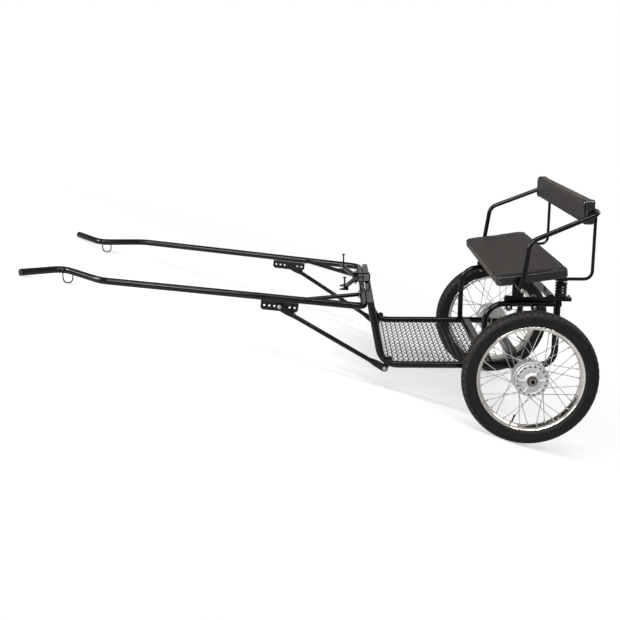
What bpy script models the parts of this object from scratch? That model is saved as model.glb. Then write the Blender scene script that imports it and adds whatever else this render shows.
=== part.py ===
"""Two-wheel pony cart: a light steel cart on wire wheels, with a sprung bench seat and a pair of shafts.

Frame: metres, +X forward along the shafts, +Y to the driver's left, +Z up. The cart is laid out
level, as it rides behind a pony, with heights taken from the ground. It is then pitched about its
axle until the shaft tips rest on the ground, which is how such a cart is parked.
"""
from math import asin, atan2, cos, hypot, pi, radians, sin, sqrt, tan

import bmesh
import bpy
from mathutils import Matrix, Vector

# Driving dimensions
GAP = 0.0003                 # what separate pieces keep where they seat on each other

# Wheels: 18 inch motorcycle rims with 2.75 tyres
WHEEL_D = 0.610
TYRE_W = 0.072
TRACK = 1.150
TYRE_H = 0.0643               # from the rim's lip out to the tread
RIM_LIP_R = WHEEL_D / 2 - TYRE_H
RIM_LIP_H = 0.0117
RIM_BEAD_R = RIM_LIP_R - RIM_LIP_H
RIM_WELL_DEPTH = 0.0065
RIM_WELL_R = RIM_BEAD_R - RIM_WELL_DEPTH
RIM_W = 0.058
RIM_WALL = 0.003
RIM_WELL_HALF = 0.010
RIM_STAGGER = 0.0045         # how far the spokes of each flange seat from the rim's middle
SPOKE_D = 0.0032
SPOKE_PAIRS = 9              # pairs of crossed spokes on each flange
SPOKE_CROSSES = 2            # flange holes that a spoke leans across
SPOKE_OFFSET = 0.0021        # crossing spokes pass each other this far either side
TURN_STEPS = 4 * SPOKE_PAIRS  # a corner of the rim's facets comes over each spoke
HUB_STEPS = 24
FLANGE_R = 0.074
FLANGE_T = 0.006
FLANGE_OUT = 0.050           # outer flange's outer face, out from the wheel's middle plane
DRUM_R = 0.0785
DRUM_OUT = 0.028
DRUM_IN = -0.034             # inner flange's inner face
HUB_NECK_R = 0.058
BOSS_R = 0.0315
BOSS_OUT = 0.060
HUB_RIBS = 6
HUB_RIB_H = 0.004
RIB_SEAT = 0.002             # how far the ribs run into the boss and the flange ring
FACE_SUNK = 0.003
FLANGE_STEP = 0.014
SPINDLE_D = 0.020
BORE_PLAY = 0.0003
NUT_AF = 0.030
NUT_T = 0.014
NUT_ROOM = 0.005
NUT_STANDS = 0.002           # running clearance between the hub and its nut
RECESS = 0.006

# Side frames
RAIL_D = 0.032
RAIL_IN = 0.135              # from a wheel's middle plane in to the rail's middle
RAIL_Y = TRACK / 2 - RAIL_IN
RAIL_RISE = 0.019            # from the axle's height up to the rail's middle
RAIL_Z = WHEEL_D / 2 + RAIL_RISE
TOE_X = 0.652                # where the rail's line meets the toe's line
TOE_LEAN = radians(11)
TOE_R = 0.085
REAR_X = -0.133
REAR_R = 0.070
ARCH_D = 0.027
ARCH_X = 0.190
ARCH_R = 0.085
ARCH_RISE = 0.288
ARCH_Z = RAIL_Z + ARCH_RISE
ARCH_END_X = -0.151
CROSSBAR_S = 0.026
CROSSBAR_OVERHANG = 0.030
CROSSBAR_HALF = RAIL_Y + CROSSBAR_OVERHANG
CROSSBAR_RISE = 0.285
CROSSBAR_Z = RAIL_Z + CROSSBAR_RISE
FLOOR_TUBE_D = 0.027
FLOOR_TUBE_X = 0.172
FLOOR_STRIP_W = 0.030
FLOOR_STRIP_T = 0.004

# Floor of ribbed expanded metal
RIB_PITCH = 0.024
RIB_W = 0.005
RIB_T = 0.004
STRAND_W = 0.0034
STRAND_COUNT = 3
FLOOR_SUNK = 0.006           # the floor lies this far below the rails' middle
FLOOR_RISE = 0.146
FLOOR_TOP_Z = RAIL_Z + FLOOR_RISE          # how far the floor runs up the toe

# Axle
BEAM_S = 0.038
BEAM_OVERHANG = 0.065
BEAM_HALF = RAIL_Y + BEAM_OVERHANG
STUB_R = 0.016
STUB_SEAT = 0.043
STUB_IN = BEAM_HALF - STUB_SEAT
CLAMP_PLATE = (0.070, 0.068, 0.005)
UBOLT_D = 0.008
UBOLT_R = 0.0046
UBOLT_TAIL = 0.012
UBOLT_SPREAD = 0.027         # from the rail's middle to a U-bolt's plane

# Shafts
SHAFT_D = 0.032
SHAFT_REAR_X = 0.745
SHAFT_OUT = 0.047            # from the rail's middle out to the shaft's rear end
SHAFT_REAR_Y = RAIL_Y + SHAFT_OUT
SHAFT_FRONT_X = 1.910        # where the straight run ends and the inward curve begins
SHAFT_SPREAD = 0.0436
SHAFT_FRONT_Y = SHAFT_REAR_Y + SHAFT_SPREAD
SHAFT_RISE = 0.1195
SHAFT_FRONT_Z = CROSSBAR_Z + SHAFT_RISE
THROAT_STEP = (0.200, -0.1506, 0.0230)
THROAT = (SHAFT_FRONT_X + THROAT_STEP[0], SHAFT_FRONT_Y + THROAT_STEP[1], SHAFT_FRONT_Z + THROAT_STEP[2])
TIP_STEP = (0.152, 0.163, 0.0151)
TIP = (THROAT[0] + TIP_STEP[0], THROAT[1] + TIP_STEP[1], THROAT[2] + TIP_STEP[2])
SHAFT_CURVE_R = 0.100
THROAT_R = 0.055
SHAFT_BEND_R = 0.050
SHAFT_TAIL_Y = 0.130
SHAFT_CROSS_D = 0.026
RING_WIRE = 0.006
RING_HALF = 0.0225
RING_DROP = 0.0585
RING_STEP = (-0.025, 0.032)
RING_X = THROAT[0] + RING_STEP[0]
RING_Y = THROAT[1] + RING_STEP[1]
PLATE_T = 0.005
PLATE_L = 0.170
PLATE_H = 0.042
EDGE_R = 0.010
ADJUSTER_X = 1.117
HOLE_PITCH = 0.0228
HOLE_D = 0.010
HOLE_COUNT = 7
BRACE_D = 0.021
BRACE_SKEW = 0.001           # keeps the brace's tab clear of the plate's slight turn
TAB_L = 0.044
TAB_FLARE = 0.042
TAB_T = 0.005
LUG_R = 0.016
TOE_LUG_X = 0.640
TOE_LUG_DROP = 0.018
TOE_LUG_Z = RAIL_Z - TOE_LUG_DROP
TOE_LUG_R = 0.014
INNER_BRACE_D = 0.020
INNER_BRACE_X = 1.030
INNER_BRACE_Y = 0.232

# Singletree
STRAP_W = 0.030
STRAP_T = 0.006
STRAP_GAP = 0.034
STRAP_R = 0.012
PIVOT_X = 0.768
SINGLETREE_D = 0.022
SINGLETREE_HALF = 0.235
SINGLETREE_SWEEP = 0.050
SINGLETREE_FLAT = 0.040
SINGLETREE_R = 0.080
BOSS_PLAY = 0.0005
FORK_L = 0.034
FORK_W = 0.044
FORK_T = 0.005
TRACE_PIN_D = 0.008
TRACE_PIN_L = 0.060
PIN_RAISED = 0.020           # the right trace pin stands drawn up this far
BOLT_D = 0.010

# Seat
SEAT_BAR = (0.300, 0.025, 0.016)
SEAT_BAR_FRONT = 0.106
ARCH_LUGS = (0.086, -0.030)
ARCH_LUG_DROP = 0.015
LUG_T = 0.006
LUG_WALL = 0.006
SEAT_TILT = radians(7.6)
SEAT_FRONT_X = 0.164
SEAT_RISE = 0.093
SEAT_FRONT_Z = ARCH_Z + SEAT_RISE         # underside of the seat at its front edge
SEAT_DEPTH = 0.323
SEAT_OVERHANG = 0.105        # how far the seat reaches out past the rails' middle
SEAT_HALF = RAIL_Y + SEAT_OVERHANG
SEAT_T = 0.045
BOARD_T = 0.010
BOARD_INSET = 0.008
CORNER_R = 0.035
PIPING_R = 0.010
SEAT_TUBE_D = 0.022
PIVOT_TUBE_X = 0.055
SEAT_SIDE_IN = 0.060
SEAT_SIDE_Y = RAIL_Y - SEAT_SIDE_IN
SPRING_D = 0.052
SPRING_WIRE = 0.009
SPRING_TURNS = 4.5
COIL_STEPS = 10
DEAD_COIL = 0.11             # share of the coil that lies flat at each end
SPRING_X = -0.146
CUP_T = 0.004
REAR_TUBE_OVERHANG = 0.055
REAR_TUBE_HALF = RAIL_Y + REAR_TUBE_OVERHANG
TIE_W = 0.030
TIE_T = 0.014
TIE_X = -0.098

# Arms and back
ARM_D = 0.022
ARM_CLEAR = 0.038
ARM_Y = SEAT_HALF + ARM_CLEAR
ARM_BEND_RISE = 0.212
ARM_BEND = (0.028, SEAT_FRONT_Z + ARM_BEND_RISE)
ARM_REAR_RISE = 0.332
ARM_REAR = (-0.270, SEAT_FRONT_Z + ARM_REAR_RISE)
ARM_REAR_CLEAR = 0.007
ARM_REAR_Y = SEAT_HALF + ARM_REAR_CLEAR
ARM_R = 0.055
ARM_REAR_R = 0.045
ARM_FOOT_T = 0.0084
ARM_FOOT_R = 0.013
ARM_FOOT_L = 0.030
POST_D = 0.015
POST_OUT = 0.044
POST_Y = RAIL_Y + POST_OUT
POST_R = 0.035
BACK_SHY = 0.013
BACK_HALF = SEAT_HALF - BACK_SHY
BACK_BOARD_SHY = 0.032
BACK_BOARD_HALF = BACK_HALF - BACK_BOARD_SHY
BACK_CORNER_R = 0.018
BACK_DROP = 0.055
BACK_LOW = ARM_REAR[1] - BACK_DROP
BACK_H = 0.110
BACK_HIGH = BACK_LOW + BACK_H
BACK_T = 0.042

# Worked out from the driving dimensions
AXLE_Z = WHEEL_D / 2
RAIL_R = RAIL_D / 2
RAIL_TOP = RAIL_Z + RAIL_R
CROSSBAR_LOW = CROSSBAR_Z - CROSSBAR_S / 2
CROSSBAR_TOP = CROSSBAR_Z + CROSSBAR_S / 2
TOE_TOP_X = TOE_X + (CROSSBAR_LOW - GAP - RAIL_Z) * tan(TOE_LEAN)
CROSSBAR_X = TOE_TOP_X + CROSSBAR_S / 2 * tan(TOE_LEAN)
ARCH_TOP = ARCH_Z + ARCH_D / 2
BEAM_Z = RAIL_Z - RAIL_R - GAP - BEAM_S / 2

STEEL_BLACK = ("black enamelled steel", (0.012, 0.011, 0.011, 1), 0.25, 0.0)
ZINC = ("zinc plated steel", (0.55, 0.57, 0.58, 1), 0.30, 1.0)
RUBBER = ("tyre rubber", (0.020, 0.020, 0.021, 1), 0.75, 0.0)
CHROME = ("polished rim", (0.72, 0.70, 0.67, 1), 0.15, 1.0)
CASTING = ("cast aluminium", (0.52, 0.50, 0.49, 1), 0.45, 1.0)
VINYL = ("black vinyl", (0.045, 0.038, 0.035, 1), 0.55, 0.0)
BOARD = ("painted plywood", (0.030, 0.028, 0.026, 1), 0.60, 0.0)

for old in list(bpy.data.objects):
    bpy.data.objects.remove(old)

scene = bpy.context.scene
parts = bpy.data.collections.new("pony_cart")
cutters = bpy.data.collections.new("cutters")
scene.collection.children.link(parts)
scene.collection.children.link(cutters)


def link(obj, collection=parts):
    collection.objects.link(obj)
    return obj


def paint(obj, finish):
    """Give an object its own Principled material in a finish's colour, roughness and metallic value."""
    label, colour, roughness, metallic = finish
    material = bpy.data.materials.new(obj.name + " " + label)
    material.use_nodes = True
    shader = material.node_tree.nodes["Principled BSDF"]
    shader.inputs["Base Color"].default_value = colour
    shader.inputs["Roughness"].default_value = roughness
    shader.inputs["Metallic"].default_value = metallic
    obj.data.materials.clear()
    obj.data.materials.append(material)
    return obj


def smooth(obj, angle=radians(35)):
    obj.data.shade_smooth()
    obj.data.set_sharp_from_angle(angle=angle)
    return obj


def rounded(corners, radii, steps=5):
    """Turn a path's corners into arcs. Each corner is a point, each radius belongs to an inner corner."""
    points = [Vector(corners[0])]
    for before, corner, after, radius in zip(corners, corners[1:], corners[2:], radii):
        here = Vector(corner)
        back = (Vector(before) - here).normalized()
        onward = (Vector(after) - here).normalized()
        half = back.angle(onward) / 2
        reach = radius / tan(half)
        centre = here + (back + onward).normalized() * radius / sin(half)
        start = here + back * reach - centre
        end = here + onward * reach - centre
        turn = pi - 2 * half
        for step in range(steps + 1):
            share = step / steps
            along = start * sin((1 - share) * turn) + end * sin(share * turn)
            points.append(centre + along / sin(turn))
    points.append(Vector(corners[-1]))
    return points


def tube(name, points, diameter, sides=4, closed=False):
    """A round tube or wire along a path, with filled ends, turned into a mesh."""
    curve = bpy.data.curves.new(name, "CURVE")
    curve.dimensions = "3D"
    curve.bevel_depth = diameter / 2
    curve.bevel_resolution = sides
    curve.use_fill_caps = not closed
    spline = curve.splines.new("POLY")
    spline.points.add(len(points) - 1)
    for place, point in zip(spline.points, points):
        place.co = (*point, 1)
    spline.use_cyclic_u = closed
    return mesh_from(link(bpy.data.objects.new(name, curve)))


def mesh_from(obj):
    """Replace an object by its evaluated mesh, welded, at the same place."""
    evaluated = obj.evaluated_get(bpy.context.evaluated_depsgraph_get())
    mesh = bpy.data.meshes.new_from_object(evaluated)
    solid = bmesh.new()
    solid.from_mesh(mesh)
    bmesh.ops.remove_doubles(solid, verts=solid.verts, dist=0.00001)
    bmesh.ops.recalc_face_normals(solid, faces=solid.faces)
    solid.to_mesh(mesh)
    solid.free()
    made = bpy.data.objects.new(obj.name, mesh)
    made.matrix_world = obj.matrix_world
    name = obj.name
    bpy.data.objects.remove(obj)
    made.name = name
    return link(made)


def box(name, size, centre, turn=0.0):
    """A block with its middle at centre, turned about Y."""
    bpy.ops.mesh.primitive_cube_add(size=1)
    obj = bpy.context.object
    obj.name = name
    obj.data.transform(Matrix.Diagonal((*size, 1)))
    obj.data.transform(Matrix.Translation(centre) @ Matrix.Rotation(turn, 4, "Y"))
    return regroup(obj)


def regroup(obj):
    for collection in list(obj.users_collection):
        collection.objects.unlink(obj)
    return link(obj)


def rod(name, radius, start, end, sides=16):
    """A straight round bar between two points."""
    start = Vector(start)
    end = Vector(end)
    bpy.ops.mesh.primitive_cylinder_add(vertices=sides, radius=radius, depth=(end - start).length)
    obj = bpy.context.object
    obj.name = name
    aim = (end - start).to_track_quat("Z", "Y").to_matrix().to_4x4()
    obj.data.transform(Matrix.Translation((start + end) / 2) @ aim)
    return regroup(obj)


def turned(name, profile, steps=TURN_STEPS):
    """A turned piece about Z from a closed profile of (radius, height), listed down its outer side."""
    mesh = bpy.data.meshes.new(name)
    count = len(profile)
    edges = [(i, (i + 1) % count) for i in range(count)]
    mesh.from_pydata([(r, 0, z) for r, z in profile], edges, [])
    obj = link(bpy.data.objects.new(name, mesh))
    screw = obj.modifiers.new("turn", "SCREW")
    screw.axis = "Z"
    screw.steps = steps
    screw.render_steps = steps
    screw.use_merge_vertices = True
    screw.merge_threshold = 0.00001
    return smooth(mesh_from(obj))


def slab(name, outline, thickness, middle, holes=()):
    """A flat plate in the XZ plane, its middle at Y = middle, with round holes (x, z, radius)."""
    curve = bpy.data.curves.new(name, "CURVE")
    curve.dimensions = "2D"
    curve.fill_mode = "BOTH"
    curve.extrude = thickness / 2
    loops = [outline] + [circle(x, z, radius, 8) for x, z, radius in holes]
    for loop in loops:
        spline = curve.splines.new("POLY")
        spline.points.add(len(loop) - 1)
        for place, (x, z) in zip(spline.points, loop):
            place.co = (x, z, 0, 1)
        spline.use_cyclic_u = True
    obj = mesh_from(link(bpy.data.objects.new(name, curve)))
    obj.data.transform(Matrix.Translation((0, middle, 0)) @ Matrix.Rotation(pi / 2, 4, "X"))
    return obj


def circle(x, z, radius, steps=12):
    return [(x + radius * cos(2 * pi * i / steps), z + radius * sin(2 * pi * i / steps)) for i in range(steps)]


def capsule(start, end, radius, steps=8):
    """Outline of a flat bar with round ends, from one end's centre to the other's."""
    heading = atan2(end[1] - start[1], end[0] - start[0])
    outline = []
    for (x, z), base in ((end, heading - pi / 2), (start, heading + pi / 2)):
        for step in range(steps + 1):
            angle = base + pi * step / steps
            outline.append((x + radius * cos(angle), z + radius * sin(angle)))
    return outline


def boolean(obj, others, operation):
    """Union or cut with each other object in turn, which is used up."""
    for other in others:
        modifier = obj.modifiers.new(operation, "BOOLEAN")
        modifier.operation = operation
        modifier.solver = "EXACT"
        modifier.object = other
        obj = mesh_from(obj)
        bpy.data.objects.remove(other)
    return obj


def fuse(obj, *others):
    return boolean(obj, others, "UNION")


def cut(obj, *others):
    return boolean(obj, others, "DIFFERENCE")


def mirrored(obj, name):
    """A copy of an object on the other side of the cart."""
    mesh = obj.data.copy()
    mesh.transform(Matrix.Diagonal((1, -1, 1, 1)))
    mesh.flip_normals()
    return link(bpy.data.objects.new(name, mesh))


def pair(name, make, finish):
    """The same piece on the left and on the right."""
    left = make(name + "_left")
    left.name = name + "_left"
    right = mirrored(left, name + "_right")
    for obj in (left, right):
        paint(smooth(obj), finish)
        on_cart(obj)


def single(obj, finish):
    paint(smooth(obj), finish)
    return on_cart(obj)


# The cart's own empty turns about the axle
cart = link(bpy.data.objects.new("cart", None))
LEVEL_TO_AXLE = Matrix.Translation((0, 0, -AXLE_Z))


def on_cart(obj):
    """Hang a piece, laid out level from the ground, on the cart's empty at the axle."""
    obj.parent = cart
    obj.matrix_parent_inverse = LEVEL_TO_AXLE
    return obj


# Side frames: toe, floor rail, rear bend and rear upright are one bent tube, with a lug for the brace's bolt
def side_frame(name):
    corners = [
        (TOE_TOP_X, RAIL_Y, CROSSBAR_LOW - GAP),
        (TOE_X, RAIL_Y, RAIL_Z),
        (REAR_X, RAIL_Y, RAIL_Z),
        (REAR_X, RAIL_Y, ARCH_Z),
    ]
    frame = tube(name, rounded(corners, (TOE_R, REAR_R)), RAIL_D)
    under_arch = rod("under_arch", ARCH_D / 2 + GAP, (REAR_X - 0.1, RAIL_Y, ARCH_Z), (REAR_X + 0.1, RAIL_Y, ARCH_Z))
    above = box("above", (0.2, 0.1, 0.1), (REAR_X, RAIL_Y, ARCH_Z + 0.05))
    flat = box("flat", (0.1, 0.1, 0.04), (TOE_TOP_X, RAIL_Y, CROSSBAR_LOW - GAP + 0.02))
    bend = (TOE_X - TOE_R * 0.4, RAIL_Z + TOE_R * 0.3)
    lug = slab("lug", capsule((TOE_LUG_X, TOE_LUG_Z), bend, TOE_LUG_R, 5), LUG_T, RAIL_Y)
    return fuse(cut(frame, fuse(under_arch, above), flat), lug)


pair("side_frame", side_frame, STEEL_BLACK)


# Arches: front leg on the rail, top rail back over the axle to the rear upright, with two bolted lugs under it
def arch(name):
    corners = [(ARCH_X, RAIL_Y, RAIL_Z), (ARCH_X, RAIL_Y, ARCH_Z), (ARCH_END_X, RAIL_Y, ARCH_Z)]
    leg = tube(name, rounded(corners, (ARCH_R,)), ARCH_D)
    rail = rod("rail", RAIL_R + GAP, (ARCH_X - 0.1, RAIL_Y, RAIL_Z), (ARCH_X + 0.1, RAIL_Y, RAIL_Z), 24)
    below = box("below", (0.2, 0.1, 0.1), (ARCH_X, RAIL_Y, RAIL_Z - 0.05))
    leg = cut(leg, fuse(rail, below))
    outboard = RAIL_Y + ARCH_D / 2
    return fuse(leg, *[slab("lug", circle(x, ARCH_Z - ARCH_LUG_DROP, LUG_R, 16), LUG_T, outboard) for x in ARCH_LUGS])


pair("arch", arch, STEEL_BLACK)

# Front cross-bar on the toes' tops
single(
    box("front_crossbar", (CROSSBAR_S, 2 * CROSSBAR_HALF, CROSSBAR_S), (CROSSBAR_X, 0, CROSSBAR_Z)), STEEL_BLACK
)


# Floor cross-tube between the rails, coped onto them, with the flat strip that backs it
def floor_tube():
    bar = rod("floor_crossbar", FLOOR_TUBE_D / 2, (FLOOR_TUBE_X, -RAIL_Y, RAIL_Z), (FLOOR_TUBE_X, RAIL_Y, RAIL_Z))
    strip = box(
        "strip",
        (FLOOR_STRIP_W, 2 * RAIL_Y, FLOOR_STRIP_T),
        (FLOOR_TUBE_X - FLOOR_STRIP_W / 2, 0, RAIL_Z + FLOOR_TUBE_D / 2 - FLOOR_STRIP_T),
    )
    bar = fuse(bar, strip)
    for side in (-1, 1):
        y = side * RAIL_Y
        rail = rod("rail", RAIL_R + GAP, (FLOOR_TUBE_X - 0.1, y, RAIL_Z), (FLOOR_TUBE_X + 0.1, y, RAIL_Z), 24)
        foot = rod("foot", ARCH_D / 2 + GAP, (ARCH_X, y, RAIL_Z), (ARCH_X, y, RAIL_Z + 0.1))
        bar = cut(bar, rail, foot)
        end = box("end", (0.2, 0.05, 0.1), (FLOOR_TUBE_X, side * (RAIL_Y + 0.025), RAIL_Z))
        bar = cut(bar, end)
    return bar


single(floor_tube(), STEEL_BLACK)


# Floor: ribs across between the side frames' inner sides, strands along, and both follow the toe's bend
def floor_line():
    """The floor's path in side view, a little to the outside of the side frame's own line."""
    level = RAIL_Z - FLOOR_SUNK
    ahead = FLOOR_SUNK / cos(TOE_LEAN)
    corners = [
        (FLOOR_TUBE_X + FLOOR_TUBE_D / 2 + GAP, 0, level),
        (TOE_X + (level - RAIL_Z) * tan(TOE_LEAN) + ahead, 0, level),
        (TOE_X + (FLOOR_TOP_Z - RAIL_Z) * tan(TOE_LEAN) + ahead, 0, FLOOR_TOP_Z),
    ]
    return rounded(corners, (TOE_R + FLOOR_SUNK,))


def along(line, distance):
    """Point and heading at a distance along a path."""
    for start, end in zip(line, line[1:]):
        step = (end - start).length
        if distance <= step:
            heading = (end - start).normalized()
            return start + heading * distance, heading
        distance -= step
    return line[-1], (line[-1] - line[-2]).normalized()


def floor_mesh():
    line = floor_line()
    length = sum((b - a).length for a, b in zip(line, line[1:]))
    reach = RAIL_Y - sqrt(RAIL_R ** 2 - FLOOR_SUNK ** 2) - GAP
    strands = []
    run = [line[0] + Vector((RIB_W / 3, 0, 0)), *line[1:]]
    for index in range(STRAND_COUNT):
        y = (reach - STRAND_W) * (2 * index / (STRAND_COUNT - 1) - 1)
        strand = tube("strand", [Vector((p.x, y, p.z)) for p in run], STRAND_W, 0)
        strands.append(strand)
    floor = box("floor_mesh", (RIB_W, 2 * reach, RIB_T), line[0] + Vector((RIB_W / 2, 0, 0)))
    ribs = []
    count = int((length - RIB_W) / RIB_PITCH)
    for index in range(1, count + 1):
        point, heading = along(line, index * RIB_PITCH)
        ribs.append(box("rib", (RIB_W, 2 * reach, RIB_T), point, -atan2(heading.z, heading.x)))
    return fuse(floor, joined(strands), joined(ribs))


def joined(pieces):
    """One mesh of pieces that don't touch each other, to be fused to what carries them."""
    mesh = bpy.data.meshes.new("joined")
    solid = bmesh.new()
    for piece in pieces:
        solid.from_mesh(piece.data)
        bpy.data.objects.remove(piece)
    solid.to_mesh(mesh)
    solid.free()
    return link(bpy.data.objects.new("joined", mesh))


single(floor_mesh(), STEEL_BLACK)


# Axle: square beam under the rails, with a stub and a spindle welded on at each end
def axle():
    beam = box("axle_beam", (BEAM_S, 2 * BEAM_HALF, BEAM_S), (0, 0, BEAM_Z))
    for side in (-1, 1):
        stub_end = TRACK / 2 + DRUM_IN - 0.010
        nut_face = TRACK / 2 + BOSS_OUT
        stub = rod("stub", STUB_R, (0, side * STUB_IN, AXLE_Z), (0, side * stub_end, AXLE_Z), 20)
        spindle = rod("spindle", SPINDLE_D / 2, (0, side * STUB_IN, AXLE_Z), (0, side * (nut_face + NUT_T), AXLE_Z), 20)
        beam = fuse(beam, fuse(stub, spindle))
    return beam


single(axle(), STEEL_BLACK)


def axle_nut(name):
    """Hexagon nut on a spindle's end, clear of the hub's boss."""
    near = TRACK / 2 + BOSS_OUT - RECESS + NUT_STANDS
    far = near + NUT_T
    nut = rod(name, NUT_AF / 2 / cos(pi / 6), (0, near, AXLE_Z), (0, far, AXLE_Z), 6)
    hole = rod("hole", SPINDLE_D / 2 + GAP, (0, near - 0.01, AXLE_Z), (0, far + 0.01, AXLE_Z), 20)
    return cut(nut, hole)


pair("axle_nut", axle_nut, ZINC)


def axle_clamp(name):
    """Plate across the rail's top with two U-bolts that come up from under the beam, one each side of the rail."""
    length, width, thick = CLAMP_PLATE
    clamp = box(name, CLAMP_PLATE, (0, RAIL_Y, RAIL_TOP + GAP + thick / 2))
    leg = BEAM_S / 2 + UBOLT_D / 2 + GAP
    low = BEAM_Z - BEAM_S / 2 - UBOLT_D / 2 - GAP
    high = RAIL_TOP + thick + UBOLT_TAIL
    for y in (RAIL_Y - UBOLT_SPREAD, RAIL_Y + UBOLT_SPREAD):
        corners = [(-leg, y, high), (-leg, y, low), (leg, y, low), (leg, y, high)]
        clamp = fuse(clamp, tube("ubolt", rounded(corners, (UBOLT_R, UBOLT_R), 3), UBOLT_D, 1))
    return clamp


pair("axle_clamp", axle_clamp, ZINC)


# Shafts: long tube with a curved tip, and a tail bent inward beside the front cross-bar
TAIL_X = CROSSBAR_X + CROSSBAR_S / 2 + GAP + SHAFT_D / 2
TAIL_Z = CROSSBAR_TOP - SHAFT_D / 2


def shaft_point(x):
    """Centre of the left shaft's straight run at a distance ahead of the axle."""
    share = (x - SHAFT_REAR_X) / (SHAFT_FRONT_X - SHAFT_REAR_X)
    return Vector((SHAFT_REAR_X, SHAFT_REAR_Y, TAIL_Z)).lerp(Vector((SHAFT_FRONT_X, SHAFT_FRONT_Y, SHAFT_FRONT_Z)), share)


def shaft_path():
    corners = [
        (TAIL_X, SHAFT_TAIL_Y, TAIL_Z),
        (TAIL_X, shaft_point(TAIL_X).y, TAIL_Z),
        shaft_point(SHAFT_FRONT_X),
        THROAT,
        TIP,
    ]
    return rounded(corners, (SHAFT_BEND_R, SHAFT_CURVE_R, THROAT_R))


def fat_shaft():
    """Cutter that leaves the gap where a piece is coped onto the left shaft."""
    return tube("fat_shaft", shaft_path(), SHAFT_D + 2 * GAP)


def shaft(name):
    """The bent tube, with the wire loop welded under its throat."""
    top = THROAT[2]
    bend = top - RING_DROP + RING_HALF
    arc = [(RING_X + RING_HALF * cos(pi * i / 8), RING_Y, bend - RING_HALF * sin(pi * i / 8)) for i in range(9)]
    ring = tube("ring", [(arc[0][0], RING_Y, top), *arc, (arc[-1][0], RING_Y, top)], RING_WIRE, 1)
    return fuse(tube(name, shaft_path(), SHAFT_D), ring)


pair("shaft", shaft, STEEL_BLACK)

single(
    rod(
        "shaft_crossbar",
        SHAFT_CROSS_D / 2,
        (TAIL_X, GAP - SHAFT_TAIL_Y, TAIL_Z),
        (TAIL_X, SHAFT_TAIL_Y - GAP, TAIL_Z),
    ),
    STEEL_BLACK,
)


def adjuster(name):
    """Perforated plate under a shaft, in line with it, that takes the lower brace's bolt."""
    middle = shaft_point(ADJUSTER_X)
    step = shaft_point(ADJUSTER_X + 1) - middle
    slope = step.z / step.x
    drop = (SHAFT_D / 2 + GAP + PLATE_H / 2) * hypot(1, slope)
    low = -PLATE_H / 2
    reach = PLATE_L / 2
    outline = [(-reach, low + EDGE_R), (-reach + EDGE_R, low), (reach - EDGE_R, low), (reach, low + EDGE_R)]
    outline += [(reach, -low), (-reach, -low)]
    holes = [((i - (HOLE_COUNT - 1) / 2) * HOLE_PITCH, 0, HOLE_D / 2) for i in range(HOLE_COUNT)]
    plate = slab(name, outline, PLATE_T, 0, holes)
    turn = Matrix.Rotation(atan2(step.y, step.x), 4, "Z") @ Matrix.Rotation(-atan2(step.z, step.x), 4, "Y")
    plate.data.transform(Matrix.Translation(middle - Vector((0, 0, drop))) @ turn)
    return plate


pair("adjuster_plate", adjuster, STEEL_BLACK)


def brace_bolt_hole():
    """Centre of the adjuster plate's middle hole, on the outboard face."""
    middle = shaft_point(ADJUSTER_X)
    step = shaft_point(ADJUSTER_X + 1) - middle
    drop = (SHAFT_D / 2 + GAP + PLATE_H / 2) * hypot(1, step.z / step.x)
    return middle + Vector((0, PLATE_T / 2 + GAP, -drop))


def pressed_tube(name, start, end, diameter):
    """A tube whose ends are pressed flat in XZ planes, in line with its inboard side, round past the bolts."""
    radius = diameter / 2
    nose = pi * diameter / 4
    run = Vector((end.x - start.x, 0, end.z - start.z))
    length = run.length
    run.normalize()
    across = Vector((-run.z, 0, run.x))
    flat = TAB_T / 2
    near = [(-nose * cos(turn), nose * sin(turn), flat) for turn in (radians(18), radians(52))]
    near += [(0, nose, flat), (TAB_L, nose, flat), (TAB_L + TAB_FLARE, radius, radius)]
    stations = near + [(length - place, wide, thick) for place, wide, thick in reversed(near)]
    solid = bmesh.new()
    rings = []
    for place, wide, thick in stations:
        share = min(max((place - TAB_L) / (length - 2 * TAB_L), 0), 1)
        centre = start + run * place
        centre.y = start.y + (end.y - start.y) * share + thick - flat
        ring = bmesh.ops.create_circle(solid, segments=12, radius=1)["verts"]
        for vert in ring:
            wide_share, thick_share = vert.co.x, vert.co.y
            vert.co = centre + across * wide * wide_share
            vert.co.y += min(max(radius * thick_share, -thick), thick)
        rings.append(ring)
    for ring, onward in zip(rings, rings[1:]):
        edges = {edge for vert in ring + onward for edge in vert.link_edges if edge.other_vert(vert) in ring + onward}
        bmesh.ops.bridge_loops(solid, edges=[edge for edge in edges if len(edge.link_faces) < 2])
    bmesh.ops.holes_fill(solid, edges=solid.edges)
    bmesh.ops.recalc_face_normals(solid, faces=solid.faces)
    mesh = bpy.data.meshes.new(name)
    solid.to_mesh(mesh)
    solid.free()
    return link(bpy.data.objects.new(name, mesh))


def lower_brace(name):
    """From the adjuster plate's outboard face down to the outboard side of the lug under the toe's bend."""
    top = brace_bolt_hole() + Vector((0, TAB_T / 2 + BRACE_SKEW, 0))
    foot = Vector((TOE_LUG_X, RAIL_Y + LUG_T / 2 + GAP + TAB_T / 2, TOE_LUG_Z))
    return pressed_tube(name, foot, top, BRACE_D)


pair("lower_brace", lower_brace, STEEL_BLACK)


def inner_brace(name):
    """From a shaft's inner side back to the front of its own tail, with the tail end pressed flat."""
    tail_front = TAIL_X + SHAFT_D / 2 + GAP
    start = shaft_point(INNER_BRACE_X)
    end = Vector((tail_front + INNER_BRACE_D / 2, INNER_BRACE_Y, TAIL_Z))
    tab = box("tab", (TAB_T, 0.040, SHAFT_D * 0.8), (tail_front + TAB_T / 2, INNER_BRACE_Y, TAIL_Z))
    return cut(fuse(tube(name, [start, end], INNER_BRACE_D), tab), fat_shaft())


pair("inner_brace", inner_brace, STEEL_BLACK)

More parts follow.
